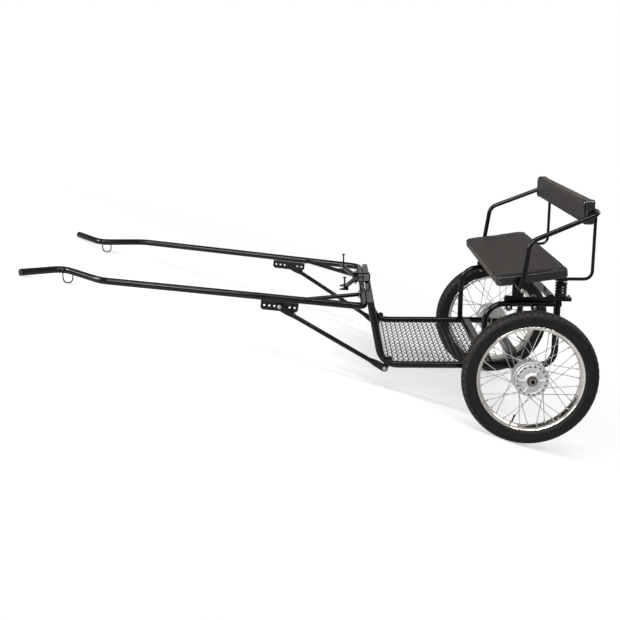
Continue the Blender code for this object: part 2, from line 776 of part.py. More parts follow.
# Clevis: strap bent into a U on top of the cross-bar, with the pivot bolt that carries the singletree
STRAP_LOW = CROSSBAR_TOP + GAP
STRAP_HIGH = STRAP_LOW + 2 * STRAP_T + STRAP_GAP
STRAP_REAR = CROSSBAR_X - CROSSBAR_S / 2
STRAP_FRONT = PIVOT_X + STRAP_W / 2
SINGLETREE_Z = (STRAP_LOW + STRAP_HIGH) / 2


def clevis():
    back = (STRAP_REAR, STRAP_HIGH)
    corners = [(STRAP_FRONT, STRAP_HIGH), back, (STRAP_REAR, STRAP_LOW), (STRAP_FRONT, STRAP_LOW)]
    outline = [(p.x, p.z) for p in rounded([(x, 0, z) for x, z in corners], (STRAP_R, STRAP_R), 3)]
    strap = slab("clevis", outline, STRAP_W, 0)
    reach = STRAP_FRONT - STRAP_REAR
    slot = box("slot", (reach, 2 * STRAP_W, STRAP_GAP), (STRAP_REAR + STRAP_T + reach / 2, 0, SINGLETREE_Z))
    hole = rod("hole", BOLT_D / 2 + GAP, (PIVOT_X, 0, STRAP_LOW - STRAP_T), (PIVOT_X, 0, STRAP_HIGH + STRAP_T))
    return cut(strap, slot, hole)


single(clevis(), STEEL_BLACK)


def pivot_bolt():
    shank = rod("pivot_bolt", BOLT_D / 2, (PIVOT_X, 0, STRAP_LOW - 0.012), (PIVOT_X, 0, STRAP_HIGH + 0.004))
    head = rod("head", BOLT_D * 0.85, (PIVOT_X, 0, STRAP_HIGH + GAP), (PIVOT_X, 0, STRAP_HIGH + 0.007), 6)
    nut = rod("nut", BOLT_D * 0.85, (PIVOT_X, 0, STRAP_LOW - 0.008), (PIVOT_X, 0, STRAP_LOW - GAP), 6)
    return fuse(shank, head, nut)


single(pivot_bolt(), ZINC)

# Singletree and its trace pins turn on the pivot bolt
pivot = link(bpy.data.objects.new("singletree_pivot", None))
pivot.location = (PIVOT_X, 0, SINGLETREE_Z)
on_cart(pivot)


def on_pivot(obj):
    obj.parent = pivot
    obj.matrix_parent_inverse = Matrix.Translation((-PIVOT_X, 0, -SINGLETREE_Z))
    return obj


TREE_END = Vector((PIVOT_X + SINGLETREE_SWEEP, SINGLETREE_HALF, SINGLETREE_Z))


def singletree():
    corners = [(x, y, SINGLETREE_Z) for x, y in (
        (TREE_END.x, -TREE_END.y),
        (PIVOT_X, -SINGLETREE_FLAT),
        (PIVOT_X, SINGLETREE_FLAT),
        (TREE_END.x, TREE_END.y),
    )]
    arm = tube("singletree", rounded(corners, (SINGLETREE_R, SINGLETREE_R), 4), SINGLETREE_D, 3)
    half = (STRAP_GAP - 2 * BOSS_PLAY) / 2
    boss = rod("boss", STRAP_W / 2 - 0.001, (PIVOT_X, 0, SINGLETREE_Z - half), (PIVOT_X, 0, SINGLETREE_Z + half), 20)
    arm = fuse(arm, boss)
    for side in (-1, 1):
        for level in (-1, 1):
            arm = fuse(arm, fork_ear(side, level))
    bore = rod("bore", BOLT_D / 2 + BORE_PLAY, (PIVOT_X, 0, SINGLETREE_Z - 0.05), (PIVOT_X, 0, SINGLETREE_Z + 0.05))
    arm = cut(arm, bore)
    for side in (-1, 1):
        x, y = pin_place(side)
        hole = rod("hole", TRACE_PIN_D / 2 + GAP, (x, y, SINGLETREE_Z - 0.05), (x, y, SINGLETREE_Z + 0.05), 12)
        arm = cut(arm, hole)
    return arm


def pin_place(side):
    heading = Vector((SINGLETREE_SWEEP, SINGLETREE_HALF - SINGLETREE_FLAT, 0)).normalized()
    out = Vector((TREE_END.x, TREE_END.y, 0)) + heading * FORK_L * 0.62
    return out.x, side * out.y


def fork_ear(side, level):
    """One flared ear of the fork at an end of the singletree, above or below the tube."""
    heading = Vector((SINGLETREE_SWEEP, SINGLETREE_HALF - SINGLETREE_FLAT, 0)).normalized()
    across = Vector((heading.y, -heading.x, 0))
    middle = Vector((TREE_END.x, TREE_END.y, SINGLETREE_Z + level * (SINGLETREE_D / 2 - FORK_T / 2)))
    mesh = bpy.data.meshes.new("ear")
    solid = bmesh.new()
    corners = []
    for reach, width in ((-FORK_L * 0.4, SINGLETREE_D * 0.45), (FORK_L, FORK_W / 2)):
        for sign in (-1, 1):
            corners.append(middle + heading * reach + across * width * sign)
    order = (corners[0], corners[2], corners[3], corners[1])
    lower = [solid.verts.new(point - Vector((0, 0, FORK_T / 2))) for point in order]
    face = solid.faces.new(lower)
    raised = bmesh.ops.extrude_face_region(solid, geom=[face])
    verts = [item for item in raised["geom"] if isinstance(item, bmesh.types.BMVert)]
    bmesh.ops.translate(solid, verts=verts, vec=(0, 0, FORK_T))
    if side < 0:
        bmesh.ops.scale(solid, vec=(1, -1, 1), verts=solid.verts)
    bmesh.ops.recalc_face_normals(solid, faces=solid.faces)
    solid.to_mesh(mesh)
    solid.free()
    return link(bpy.data.objects.new("ear", mesh))


on_pivot(paint(smooth(singletree()), STEEL_BLACK))


def trace_pin(name, side, raised):
    x, y = pin_place(side)
    low = SINGLETREE_Z - SINGLETREE_D / 2 + raised
    pin = rod(name, TRACE_PIN_D / 2, (x, y, low), (x, y, low + TRACE_PIN_L), 12)
    head = rod("head", TRACE_PIN_D, (x, y, low + TRACE_PIN_L - 0.004), (x, y, low + TRACE_PIN_L + 0.001), 12)
    return fuse(pin, head)


for side, name, raised in ((1, "trace_pin_left", 0.0), (-1, "trace_pin_right", PIN_RAISED)):
    on_pivot(paint(smooth(trace_pin(name, side, raised)), STEEL_BLACK))


# Seat bars on the arches, each with its spring plate, and the tie between them
BAR_LOW = ARCH_TOP + GAP
BAR_TOP = BAR_LOW + SEAT_BAR[2]


def under_seat(x):
    """Height of the seat's underside."""
    return SEAT_FRONT_Z + (SEAT_FRONT_X - x) * tan(SEAT_TILT)


def under_tube(x, diameter):
    """Height of the middle of a tube that lies under the seat."""
    return under_seat(x) - (diameter / 2 + GAP) / cos(SEAT_TILT)


PIVOT_Z = under_tube(PIVOT_TUBE_X, SEAT_TUBE_D + 2 * LUG_WALL)
SIDE_BAR_Z = under_tube(PIVOT_TUBE_X, SEAT_TUBE_D)
REAR_TUBE_Z = under_tube(SPRING_X, SEAT_TUBE_D)


def pivot_lug():
    """Plate that stands on the seat bar and holds the seat frame's front tube."""
    half = SEAT_TUBE_D / 2 + LUG_WALL
    top = circle(PIVOT_TUBE_X, PIVOT_Z, half, 24)
    outline = [point for point in top if point[1] >= PIVOT_Z - GAP]
    outline += [(PIVOT_TUBE_X - half, BAR_TOP - GAP), (PIVOT_TUBE_X + half, BAR_TOP - GAP)]
    lug = slab("lug", outline, LUG_T, RAIL_Y)
    ends = [(PIVOT_TUBE_X, RAIL_Y + reach, PIVOT_Z) for reach in (-LUG_T, LUG_T)]
    return cut(lug, rod("bore", SEAT_TUBE_D / 2 + GAP, *ends))


def seat_bar(name):
    length, width, height = SEAT_BAR
    bar = box(name, SEAT_BAR, (SEAT_BAR_FRONT - length / 2, RAIL_Y, BAR_LOW + height / 2))
    seat = rod(
        "seat", SPRING_D / 2 + 0.004, (SPRING_X, RAIL_Y, BAR_TOP - 0.002), (SPRING_X, RAIL_Y, BAR_TOP + CUP_T), 24
    )
    lug = pivot_lug()
    return fuse(bar, seat, lug)


pair("seat_bar", seat_bar, STEEL_BLACK)

single(
    box("seat_tie", (TIE_W, 2 * RAIL_Y + SEAT_BAR[1], TIE_T), (TIE_X, 0, BAR_TOP + GAP + TIE_T / 2)), STEEL_BLACK
)


def seat_frame():
    foot = ARM_Y - ARM_FOOT_T / 2 - GAP
    frame = rod("seat_frame", SEAT_TUBE_D / 2, (PIVOT_TUBE_X, -foot, PIVOT_Z), (PIVOT_TUBE_X, foot, PIVOT_Z))
    rear = rod("rear", SEAT_TUBE_D / 2, (SPRING_X, -REAR_TUBE_HALF, REAR_TUBE_Z), (SPRING_X, REAR_TUBE_HALF, REAR_TUBE_Z))
    frame = fuse(frame, rear)
    for side in (-1, 1):
        y = side * SEAT_SIDE_Y
        bar = rod("bar", SEAT_TUBE_D / 2, (PIVOT_TUBE_X, y, SIDE_BAR_Z), (SPRING_X, y, REAR_TUBE_Z))
        cup = rod(
            "cup",
            SPRING_D / 2 + 0.004,
            (SPRING_X, side * RAIL_Y, REAR_TUBE_Z - SEAT_TUBE_D / 2 - CUP_T),
            (SPRING_X, side * RAIL_Y, REAR_TUBE_Z - SEAT_TUBE_D / 2 + 0.002),
            24,
        )
        frame = fuse(frame, bar, cup)
    return frame


single(seat_frame(), STEEL_BLACK)


def spring(name):
    """Coil between the seat bar's plate and the seat frame's cup."""
    low = BAR_TOP + CUP_T + GAP + SPRING_WIRE / 2
    high = REAR_TUBE_Z - SEAT_TUBE_D / 2 - CUP_T - GAP - SPRING_WIRE / 2
    radius = (SPRING_D - SPRING_WIRE) / 2
    steps = int(SPRING_TURNS * COIL_STEPS)
    path = []
    for step in range(steps + 1):
        share = step / steps
        angle = 2 * pi * SPRING_TURNS * share
        rise = min(max((share * (1 + 2 * DEAD_COIL) - DEAD_COIL), 0), 1)
        path.append(Vector((
            SPRING_X + radius * cos(angle),
            RAIL_Y + radius * sin(angle),
            low + (high - low) * rise,
        )))
    return tube(name, path, SPRING_WIRE, 1)


pair("spring", spring, STEEL_BLACK)


def pad(name, size, corner, edge):
    """A block with its plan's corners rounded by corner and its top and bottom edges by edge."""
    mesh = bpy.data.meshes.new(name)
    solid = bmesh.new()
    bmesh.ops.create_cube(solid, size=1)
    bmesh.ops.scale(solid, vec=size, verts=solid.verts)
    uprights = [e for e in solid.edges if abs(e.verts[0].co.z - e.verts[1].co.z) > size[2] / 2]
    bmesh.ops.bevel(solid, geom=uprights, offset=corner, segments=4, affect="EDGES", profile=0.5)
    if edge:
        top = size[2] / 2 - 0.0001
        rims = [e for e in solid.edges if min(v.co.z for v in e.verts) > top or max(v.co.z for v in e.verts) < -top]
        bmesh.ops.bevel(solid, geom=rims, offset=edge, segments=2, affect="EDGES", profile=0.5)
    solid.to_mesh(mesh)
    solid.free()
    return link(bpy.data.objects.new(name, mesh))


def seat_slab(name, low, high, inset, corner, edge):
    """A layer of the seat between two heights over its underside."""
    obj = pad(name, (SEAT_DEPTH - 2 * inset, 2 * (SEAT_HALF - inset), high - low), corner, edge)
    middle = Vector((SEAT_FRONT_X, 0, SEAT_FRONT_Z))
    tilt = Matrix.Translation(middle) @ Matrix.Rotation(SEAT_TILT, 4, "Y")
    obj.data.transform(tilt @ Matrix.Translation((-SEAT_DEPTH / 2, 0, (low + high) / 2)))
    return obj


single(seat_slab("seat_board", 0, BOARD_T, BOARD_INSET, CORNER_R - BOARD_INSET, 0), BOARD)
single(seat_slab("seat_cushion", BOARD_T + GAP, SEAT_T, 0, CORNER_R, PIPING_R), VINYL)


# Arm hoop: one tube from foot to foot, round behind the backrest
def arm_hoop():
    front_x, front_z = ARM_BEND
    rear_x, rear_z = ARM_REAR
    left = [
        (PIVOT_TUBE_X, ARM_Y, PIVOT_Z + ARM_FOOT_L),
        (front_x, ARM_Y, front_z),
        (rear_x, ARM_REAR_Y, rear_z),
    ]
    corners = left + [(x, -y, z) for x, y, z in reversed(left)]
    hoop = tube("arm_hoop", rounded(corners, (ARM_R, ARM_REAR_R, ARM_REAR_R, ARM_R)), ARM_D, 3)
    for side in (-1, 1):
        outline = capsule((PIVOT_TUBE_X, PIVOT_Z), (PIVOT_TUBE_X, PIVOT_Z + ARM_FOOT_L + ARM_D / 2), ARM_FOOT_R, 5)
        hoop = fuse(hoop, slab("foot", outline, ARM_FOOT_T, side * ARM_Y))
    return hoop


single(arm_hoop(), STEEL_BLACK)


def back_post(name):
    """Thin post from under the arm hoop down behind the seat and forward to the seat frame's rear tube."""
    rear_x, rear_z = ARM_REAR
    corners = [(rear_x, POST_Y, rear_z), (rear_x, POST_Y, REAR_TUBE_Z), (SPRING_X, POST_Y, REAR_TUBE_Z)]
    post = tube(name, rounded(corners, (POST_R,)), POST_D, 2)
    hoop = rod("hoop", ARM_D / 2 + GAP, (rear_x, POST_Y - 0.05, rear_z), (rear_x, POST_Y + 0.05, rear_z), 24)
    above = box("above", (0.1, 0.1, 0.1), (rear_x, POST_Y, rear_z + 0.05))
    seat = rod("seat", SEAT_TUBE_D / 2 + GAP, (SPRING_X, POST_Y - 0.05, REAR_TUBE_Z), (SPRING_X, POST_Y + 0.05, REAR_TUBE_Z), 24)
    ahead = box("ahead", (0.1, 0.1, 0.1), (SPRING_X + 0.05, POST_Y, REAR_TUBE_Z))
    return cut(post, fuse(hoop, above), fuse(seat, ahead))


pair("back_post", back_post, STEEL_BLACK)


def back_slab(name, rear, front, half, inset, edge):
    """An upright layer of the backrest between two distances ahead of the arm hoop's front."""
    obj = pad(name, (BACK_HIGH - BACK_LOW - 2 * inset, 2 * half, front - rear), BACK_CORNER_R, edge)
    face = ARM_REAR[0] + ARM_D / 2 + GAP
    upright = Matrix.Translation((face + (rear + front) / 2, 0, (BACK_LOW + BACK_HIGH) / 2))
    obj.data.transform(upright @ Matrix.Rotation(pi / 2, 4, "Y"))
    return obj


single(back_slab("back_board", 0, BOARD_T, BACK_BOARD_HALF, BOARD_INSET, 0), BOARD)
single(back_slab("backrest_cushion", BOARD_T + GAP, BACK_T + BOARD_T, BACK_HALF, 0, PIPING_R), VINYL)


# Wheels, laid out about their own axle with +Z outboard
def tyre_profile():
    lip = RIM_W / 2 - RIM_WALL - GAP
    half = TYRE_W / 2
    outer = WHEEL_D / 2
    side = [
        (RIM_BEAD_R + GAP, lip),
        (RIM_LIP_R, lip),
        (outer - 0.037, half),
        (outer - 0.018, half - 0.003),
        (outer - 0.006, half - 0.012),
        (outer, half - 0.028),
    ]
    return side + [(r, -z) for r, z in reversed(side)]


def rim_profile():
    half = RIM_W / 2
    outer = [
        (RIM_LIP_R, half),
        (RIM_LIP_R, half - RIM_WALL),
        (RIM_BEAD_R, half - RIM_WALL),
        (RIM_WELL_R + RIM_WALL, RIM_WELL_HALF - RIM_WALL),
    ]
    inner = [
        (RIM_WELL_R, RIM_WELL_HALF),
        (RIM_BEAD_R - RIM_WALL, half - RIM_WALL),
        (RIM_LIP_R - RIM_WALL, half),
    ]
    profile = outer + [(r, -z) for r, z in reversed(outer)]
    return profile + [(r, -z) for r, z in reversed(inner)] + inner


def hub_profile():
    bore = SPINDLE_D / 2 + BORE_PLAY
    recess = NUT_AF / 2 / cos(pi / 6) + NUT_ROOM
    return [
        (BOSS_R, BOSS_OUT),
        (BOSS_R, FLANGE_OUT - FACE_SUNK),
        (FLANGE_R - FLANGE_STEP, FLANGE_OUT - FACE_SUNK),
        (FLANGE_R - FLANGE_STEP, FLANGE_OUT),
        (FLANGE_R, FLANGE_OUT),
        (FLANGE_R, FLANGE_OUT - FLANGE_T),
        (HUB_NECK_R, FLANGE_OUT - FLANGE_T),
        (HUB_NECK_R, DRUM_OUT),
        (DRUM_R, DRUM_OUT),
        (DRUM_R, DRUM_IN),
        (bore, DRUM_IN),
        (bore, BOSS_OUT - RECESS),
        (recess, BOSS_OUT - RECESS),
        (recess, BOSS_OUT),
    ]


def spoke_wires():
    """Crossed spokes from the edges of both flanges to the rim's well, as one mesh of separate wires."""
    wires = []
    pitch = pi / SPOKE_PAIRS
    rim_r = RIM_WELL_R - GAP - SPOKE_D / 5
    flanges = (
        (1, FLANGE_R, FLANGE_OUT - FLANGE_T / 2, 0),
        (-1, DRUM_R, DRUM_IN + FLANGE_T / 2, pitch / 2),
    )
    for side, edge_r, level, offset in flanges:
        hub_r = edge_r - SPOKE_D
        for index in range(2 * SPOKE_PAIRS):
            lean = -1 if index % 2 else 1
            hole = index * pitch + offset
            seat = hole + lean * SPOKE_CROSSES * pitch
            start = Vector((hub_r * cos(hole), hub_r * sin(hole), level + lean * SPOKE_OFFSET))
            end = Vector((rim_r * cos(seat), rim_r * sin(seat), side * RIM_STAGGER + lean * SPOKE_OFFSET))
            wires.append(rod("spoke", SPOKE_D / 2, start, end, 4))
    return joined(wires)


def spoked_hub(name):
    """Cast hub with radial ribs on its outer face, and the spokes seated in its flanges."""
    body = turned(name, hub_profile(), HUB_STEPS)
    ribs = []
    near = BOSS_R - RIB_SEAT
    reach = FLANGE_R - FLANGE_STEP + RIB_SEAT - near
    for index in range(HUB_RIBS):
        rib = box("rib", (reach, RIB_W, HUB_RIB_H), (near + reach / 2, 0, FLANGE_OUT - FACE_SUNK))
        rib.data.transform(Matrix.Rotation(2 * pi * index / HUB_RIBS, 4, "Z"))
        ribs.append(rib)
    return fuse(body, joined(ribs), spoke_wires())


WHEEL_PIECES = (
    ("tyre", lambda name: turned(name, tyre_profile()), RUBBER),
    ("rim", lambda name: turned(name, rim_profile()), CHROME),
    ("spoked_hub", spoked_hub, CASTING),
)

for side, label in ((1, "left"), (-1, "right")):
    spin = link(bpy.data.objects.new("wheel_axis_" + label, None))
    spin.location = (0, side * TRACK / 2, AXLE_Z)
    spin.rotation_euler = (-side * pi / 2, 0, 0)
    on_cart(spin)
    for kind, make, finish in WHEEL_PIECES:
        piece = make(kind + "_" + label)
        piece.name = kind + "_" + label
        paint(smooth(piece), finish).parent = spin


# Park the cart: pitch it about the axle until the shafts' lowest points reach the ground
def touch_pitch(x, z):
    """Pitch at which a point, given from the axle, comes down to the ground."""
    reach = hypot(x, z)
    return atan2(z, x) + asin(AXLE_Z / reach)


shaft_points = [vertex.co for vertex in bpy.data.objects["shaft_left"].data.vertices]
park_pitch = min(touch_pitch(point.x, point.z - AXLE_Z) for point in shaft_points if point.x > SHAFT_FRONT_X)
cart.rotation_euler = (0, park_pitch, 0)

# The origin lies on the ground under the middle of the parked cart's length
bpy.context.view_layer.update()
parked = Matrix.Rotation(park_pitch, 4, "Y")
front = max((parked @ (point - Vector((0, 0, AXLE_Z)))).x for point in shaft_points)
cart.location = ((WHEEL_D / 2 - front) / 2, 0, AXLE_Z)
bpy.context.view_layer.update()
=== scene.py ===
from math import ceil, cos, exp, hypot, pi, radians, sin, tan

import bmesh
import bpy
from mathutils import Matrix, Vector, noise
from mathutils.bvhtree import BVHTree
from mathutils.kdtree import KDTree


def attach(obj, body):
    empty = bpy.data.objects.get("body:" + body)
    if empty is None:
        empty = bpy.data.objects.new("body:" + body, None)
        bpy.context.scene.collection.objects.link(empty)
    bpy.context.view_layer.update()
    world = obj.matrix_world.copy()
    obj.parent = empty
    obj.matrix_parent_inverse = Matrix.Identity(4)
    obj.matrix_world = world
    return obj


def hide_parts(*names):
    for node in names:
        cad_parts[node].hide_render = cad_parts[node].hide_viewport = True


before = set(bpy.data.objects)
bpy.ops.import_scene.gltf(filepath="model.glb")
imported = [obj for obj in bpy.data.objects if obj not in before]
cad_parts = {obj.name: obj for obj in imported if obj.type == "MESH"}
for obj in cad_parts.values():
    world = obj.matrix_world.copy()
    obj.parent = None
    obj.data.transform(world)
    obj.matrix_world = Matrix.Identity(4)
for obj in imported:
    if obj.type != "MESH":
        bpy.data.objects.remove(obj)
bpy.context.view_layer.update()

# The cart stands parked on its shafts' tips, 18.7 degrees nose down about its axle. Sizes here are
# those of the cart standing level, in metres from the ground below its axle, and parked turns them
# into the shared frame. The camera looks at the near side from five metres off with a 59.5 mm lens.
AXLE_Z = 0.305
parked = (
    Matrix.Translation((-0.998724, 0, AXLE_Z))
    @ Matrix.Rotation(radians(18.6975), 4, "Y")
    @ Matrix.Translation((0, 0, -AXLE_Z))
)
camera_at = Vector((0.881, 4.969, 1.627))
camera_yaw = radians(-1.27)
camera_down = radians(13.04)
sight = Vector((
    -sin(camera_yaw) * cos(camera_down), -cos(camera_yaw) * cos(camera_down), -sin(camera_down)
))
lens = bpy.data.cameras.new("camera")
lens.lens = 59.51
camera = bpy.data.objects.new("camera", lens)
camera_turn = sight.to_track_quat("-Z", "Y").to_matrix().to_4x4()
camera.matrix_world = parked @ Matrix.Translation(camera_at) @ camera_turn
bpy.context.scene.collection.objects.link(camera)
bpy.context.scene.camera = camera


# Steel tube frame, arches, shafts, braces and arms: round tube bent cold, welded, and stove enamelled
# in gloss black. The enamel gives a deep black with a soft orange peel in the highlights, a thin film
# of dust and a few dull scuffs.
def linear(colour):
    """Linear colour of an sRGB hex value."""
    parts = [int(colour[i:i + 2], 16) / 255 for i in (1, 3, 5)]
    return (*[p / 12.92 if p <= 0.04045 else ((p + 0.055) / 1.055) ** 2.4 for p in parts], 1)


def add(material, kind, sockets=(), **settings):
    """Add a node with its settings, and give each socket a value or the output that feeds it."""
    made = material.node_tree.nodes.new("ShaderNode" + kind)
    for name, value in settings.items():
        setattr(made, name, value)
    for name, value in dict(sockets).items():
        if isinstance(value, bpy.types.NodeSocket):
            material.node_tree.links.new(value, made.inputs[name])
        else:
            made.inputs[name].default_value = value
    return made


def finish(name, **sockets):
    """A material with one Principled shader, whose sockets start at these values."""
    material = bpy.data.materials.new(name)
    material.use_nodes = True
    shader = material.node_tree.nodes["Principled BSDF"]
    for socket, value in sockets.items():
        shader.inputs[socket.replace("_", " ")].default_value = value
    return material


def feed(material, socket, output):
    """Lead a node's output into a socket of the material's shader."""
    shader = material.node_tree.nodes["Principled BSDF"]
    material.node_tree.links.new(output, shader.inputs[socket])


def roughen(material, grain, detail, strength, depth):
    """Give a finish a fine bump, with its grain and depth in millimetres."""
    place = add(material, "TexCoord").outputs["Object"]
    height = add(material, "TexNoise", {
        "Vector": place, "Scale": 1000 / grain, "Detail": detail
    }).outputs["Fac"]
    feed(material, "Normal", add(
        material, "Bump", {"Height": height, "Strength": strength, "Distance": depth / 1000}
    ).outputs[0])


def paint(piece, material):
    """Put a material on every slot of a piece."""
    if not piece.material_slots:
        piece.data.materials.append(material)
    for holder in piece.material_slots:
        holder.material = material
    return piece

# In millimetres: patches of dust and of scuffs, and orange peel drawn coarser than life to show
FILM_PATCH = 91
SCUFF_PATCH = 14.3
PEEL = 4.17
enamel = finish(
    "gloss_black_stove_enamel", Specular_IOR_Level=0.02, Specular_Tint=linear("#ffe3d0"),
    Coat_Weight=0.56, Coat_Roughness=0.09
)
place = add(enamel, "TexCoord").outputs["Object"]
film = add(enamel, "TexNoise", {
    "Vector": place, "Scale": 1000 / FILM_PATCH, "Detail": 5, "Roughness": 0.6
}).outputs["Fac"]
scuffs = add(enamel, "TexNoise", {
    "Vector": place, "Scale": 1000 / SCUFF_PATCH, "Detail": 9, "Roughness": 0.75
}).outputs["Fac"]
dull = add(enamel, "MapRange", {"Value": scuffs, 1: 0.60, 2: 0.72, 3: 0.0, 4: 1.0}).outputs[0]
dusty = add(enamel, "MapRange", {"Value": film, 1: 0.42, 2: 0.78, 3: 0.0, 4: 1.0}).outputs[0]
feed(enamel, "Base Color", add(
    enamel, "Mix", {0: dusty, 6: linear("#060404"), 7: linear("#120e0c")}, data_type="RGBA"
).outputs[2])
feed(enamel, "Roughness", add(
    enamel, "MapRange", {"Value": dull, 1: 0.0, 2: 1.0, 3: 0.24, 4: 0.42}
).outputs[0])
roughen(enamel, PEEL, 1, 0.06, 0.4)


def blank(name):
    """An empty mesh object in the scene, chosen alone."""
    piece = bpy.data.objects.new(name, bpy.data.meshes.new(name))
    bpy.context.scene.collection.objects.link(piece)
    return choose(piece)


def choose(piece):
    """Select a piece alone and make it active."""
    bpy.ops.object.select_all(action="DESELECT")
    piece.select_set(True)
    bpy.context.view_layer.objects.active = piece
    return piece


def rides(piece, body, slot_name, *nodes):
    """Fix a finished piece to its body; slot_name is not used. It stands for the CAD nodes given."""
    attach(piece, body)
    if nodes:
        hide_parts(*nodes)
    return piece


def tidy(piece, angle=38, gap=0.00001):
    """Join a mesh's loose edges and shade it smooth, apart from edges sharper than an angle."""
    choose(piece)
    bpy.ops.object.mode_set(mode="EDIT")
    bpy.ops.mesh.select_all(action="SELECT")
    bpy.ops.mesh.remove_doubles(threshold=gap)
    bpy.ops.object.mode_set(mode="OBJECT")
    if piece.data.has_custom_normals:
        bpy.ops.mesh.customdata_custom_splitnormals_clear()
    bpy.ops.object.shade_smooth_by_angle(angle=radians(angle))
    return piece


def enamelled(node, body="frame", material=enamel, slot_name="black_steel"):
    """A CAD node's own shape with its facets joined and shaded as the round tube that they stand for."""
    piece = blank("finished_" + node)
    piece.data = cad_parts[node].data.copy()
    tidy(piece)
    paint(piece, material)
    return rides(piece, body, slot_name, node)


for node in (
    "side_frame", "arch", "shaft", "adjuster_plate", "lower_brace", "inner_brace", "seat_bar",
    "back_post",
):
    enamelled(node + "_left")
    enamelled(node + "_right")
for node in ("floor_crossbar", "axle_beam", "shaft_crossbar", "clevis", "seat_frame", "arm_hoop"):
    enamelled(node)
for node in ("singletree", "trace_pin_left", "trace_pin_right"):
    enamelled(node, "singletree")
for node in ("front_crossbar", "seat_tie"):
    paint(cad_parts[node], enamel)


# Bolts, nuts and U-bolt clamps: cold-forged steel, bright zinc plated, which gives a pale blue-white
# satin with a faint yellow bloom. The nuts stand on washers, with the end of the bolt's thread showing.
def clouded(name, patch, detail, dark, light, rough, harsh=0.5, **sockets):
    """A finish whose colour and roughness drift together, in patches of a size in millimetres."""
    material = finish(name, **sockets)
    place = add(material, "TexCoord").outputs["Object"]
    drift = add(material, "TexNoise", {
        "Vector": place, "Scale": 1000 / patch, "Detail": detail, "Roughness": harsh
    }).outputs["Fac"]
    feed(material, "Base Color", add(
        material, "Mix", {0: drift, 6: linear(dark), 7: linear(light)}, data_type="RGBA"
    ).outputs[2])
    feed(material, "Roughness", add(
        material, "MapRange", {"Value": drift, 1: 0.3, 2: 0.7, 3: rough[0], 4: rough[1]}
    ).outputs[0])
    return material


zinc = clouded("bright_zinc_plate", 11.1, 4, "#a9b0b5", "#c4bfb2", (0.22, 0.42), Metallic=1.0)
for side in ("_left", "_right"):
    enamelled("axle_nut" + side, material=zinc, slot_name="zinc")
    enamelled("axle_clamp" + side, material=zinc, slot_name="zinc")
enamelled("pivot_bolt", material=zinc, slot_name="zinc")


def nut_on_washer(name, across, high, thread):
    """Hexagon nut on its washer, with the bolt's end through it. It stands on the XY plane."""
    washer = across * 0.10
    crown = across * 0.10
    bpy.ops.object.select_all(action="DESELECT")
    bpy.ops.mesh.primitive_cylinder_add(
        vertices=24, radius=across * 0.66, depth=washer, location=(0, 0, washer / 2)
    )
    base = bpy.context.object
    bpy.ops.mesh.primitive_cylinder_add(
        vertices=6, radius=across / 2 / cos(pi / 6), depth=high, location=(0, 0, washer + high / 2)
    )
    nut = bpy.context.object
    bpy.ops.object.mode_set(mode="EDIT")
    bpy.ops.mesh.select_all(action="DESELECT")
    bpy.ops.object.mode_set(mode="OBJECT")
    for face in nut.data.polygons:
        face.select = face.normal.z > 0.9
    bpy.ops.object.mode_set(mode="EDIT")
    bpy.ops.mesh.inset(thickness=crown, depth=across * 0.06)
    bpy.ops.mesh.inset(thickness=crown, depth=-across * 0.02)
    bpy.ops.mesh.extrude_region_move(TRANSFORM_OT_translate={"value": (0, 0, thread)})
    bpy.ops.mesh.inset(thickness=across * 0.04, depth=across * 0.05)
    bpy.ops.object.mode_set(mode="OBJECT")
    base.select_set(True)
    bpy.ops.object.join()
    nut.name = name
    bpy.ops.object.transform_apply(location=True, rotation=True, scale=True)
    return paint(tidy(nut, 30), zinc)


def fasten(pattern, name, at, towards, body="frame", slot_name="zinc", turn=0.0):
    """Set a copy of a pattern down at a place of the level cart, facing the given way."""
    piece = blank(name)
    piece.data = pattern.data.copy()
    aim = Vector(towards).to_track_quat("Z", "Y").to_matrix().to_4x4()
    piece.data.transform(parked @ Matrix.Translation(at) @ aim @ Matrix.Rotation(turn, 4, "Z"))
    return rides(piece, body, slot_name)


small_nut = nut_on_washer("small_nut", 0.013, 0.0065, 0.003)
large_nut = nut_on_washer("large_nut", 0.014, 0.007, 0.004)
stud_nut = nut_on_washer("stud_nut", 0.008, 0.004, 0.003)
OUT, IN, UP = (0, 1, 0), (0, -1, 0), (0, 0, 1)
# Name, pattern, place on the level cart's left side, which way it faces, and its turn
NUTS = (
    ("arch_lug_nut_0", large_nut, (0.086, 0.4565, 0.597), OUT, 0.0),
    ("arch_lug_head_0", small_nut, (0.086, 0.4505, 0.597), IN, 0.0),
    ("arch_lug_nut_1", large_nut, (-0.030, 0.4565, 0.597), OUT, 0.3),
    ("arch_lug_head_1", small_nut, (-0.030, 0.4505, 0.597), IN, 0.0),
    ("arm_foot_nut", large_nut, (0.055, 0.5873, 0.7021), OUT, 0.2),
    ("brace_foot_nut", large_nut, (0.640, 0.4483, 0.306), OUT, 0.5),
    ("adjuster_nut", large_nut, (1.117, 0.5099, 0.6075), OUT, 0.8),
    ("u_bolt_nut_0", small_nut, (0.0235, 0.413, 0.3455), UP, 0.0),
    ("u_bolt_nut_1", small_nut, (-0.0235, 0.413, 0.3455), UP, 0.4),
    ("u_bolt_nut_2", small_nut, (0.0235, 0.467, 0.3455), UP, 0.8),
    ("u_bolt_nut_3", small_nut, (-0.0235, 0.467, 0.3455), UP, 1.2),
)
for side, label in ((1, "left"), (-1, "right")):
    for name, pattern, (x, y, z), (_, out, up), turn in NUTS:
        fasten(pattern, f"{name}_{label}", (x, side * y, z), (0, side * out, up), turn=turn)

# Bar clamps: black steel plates that hold each seat bar down on its arch, the rear one with two
# zinc-plated studs through it, and the spring's bolt at the bar's end.
BAR_Y = 0.440
BAR_TOP = 0.6417
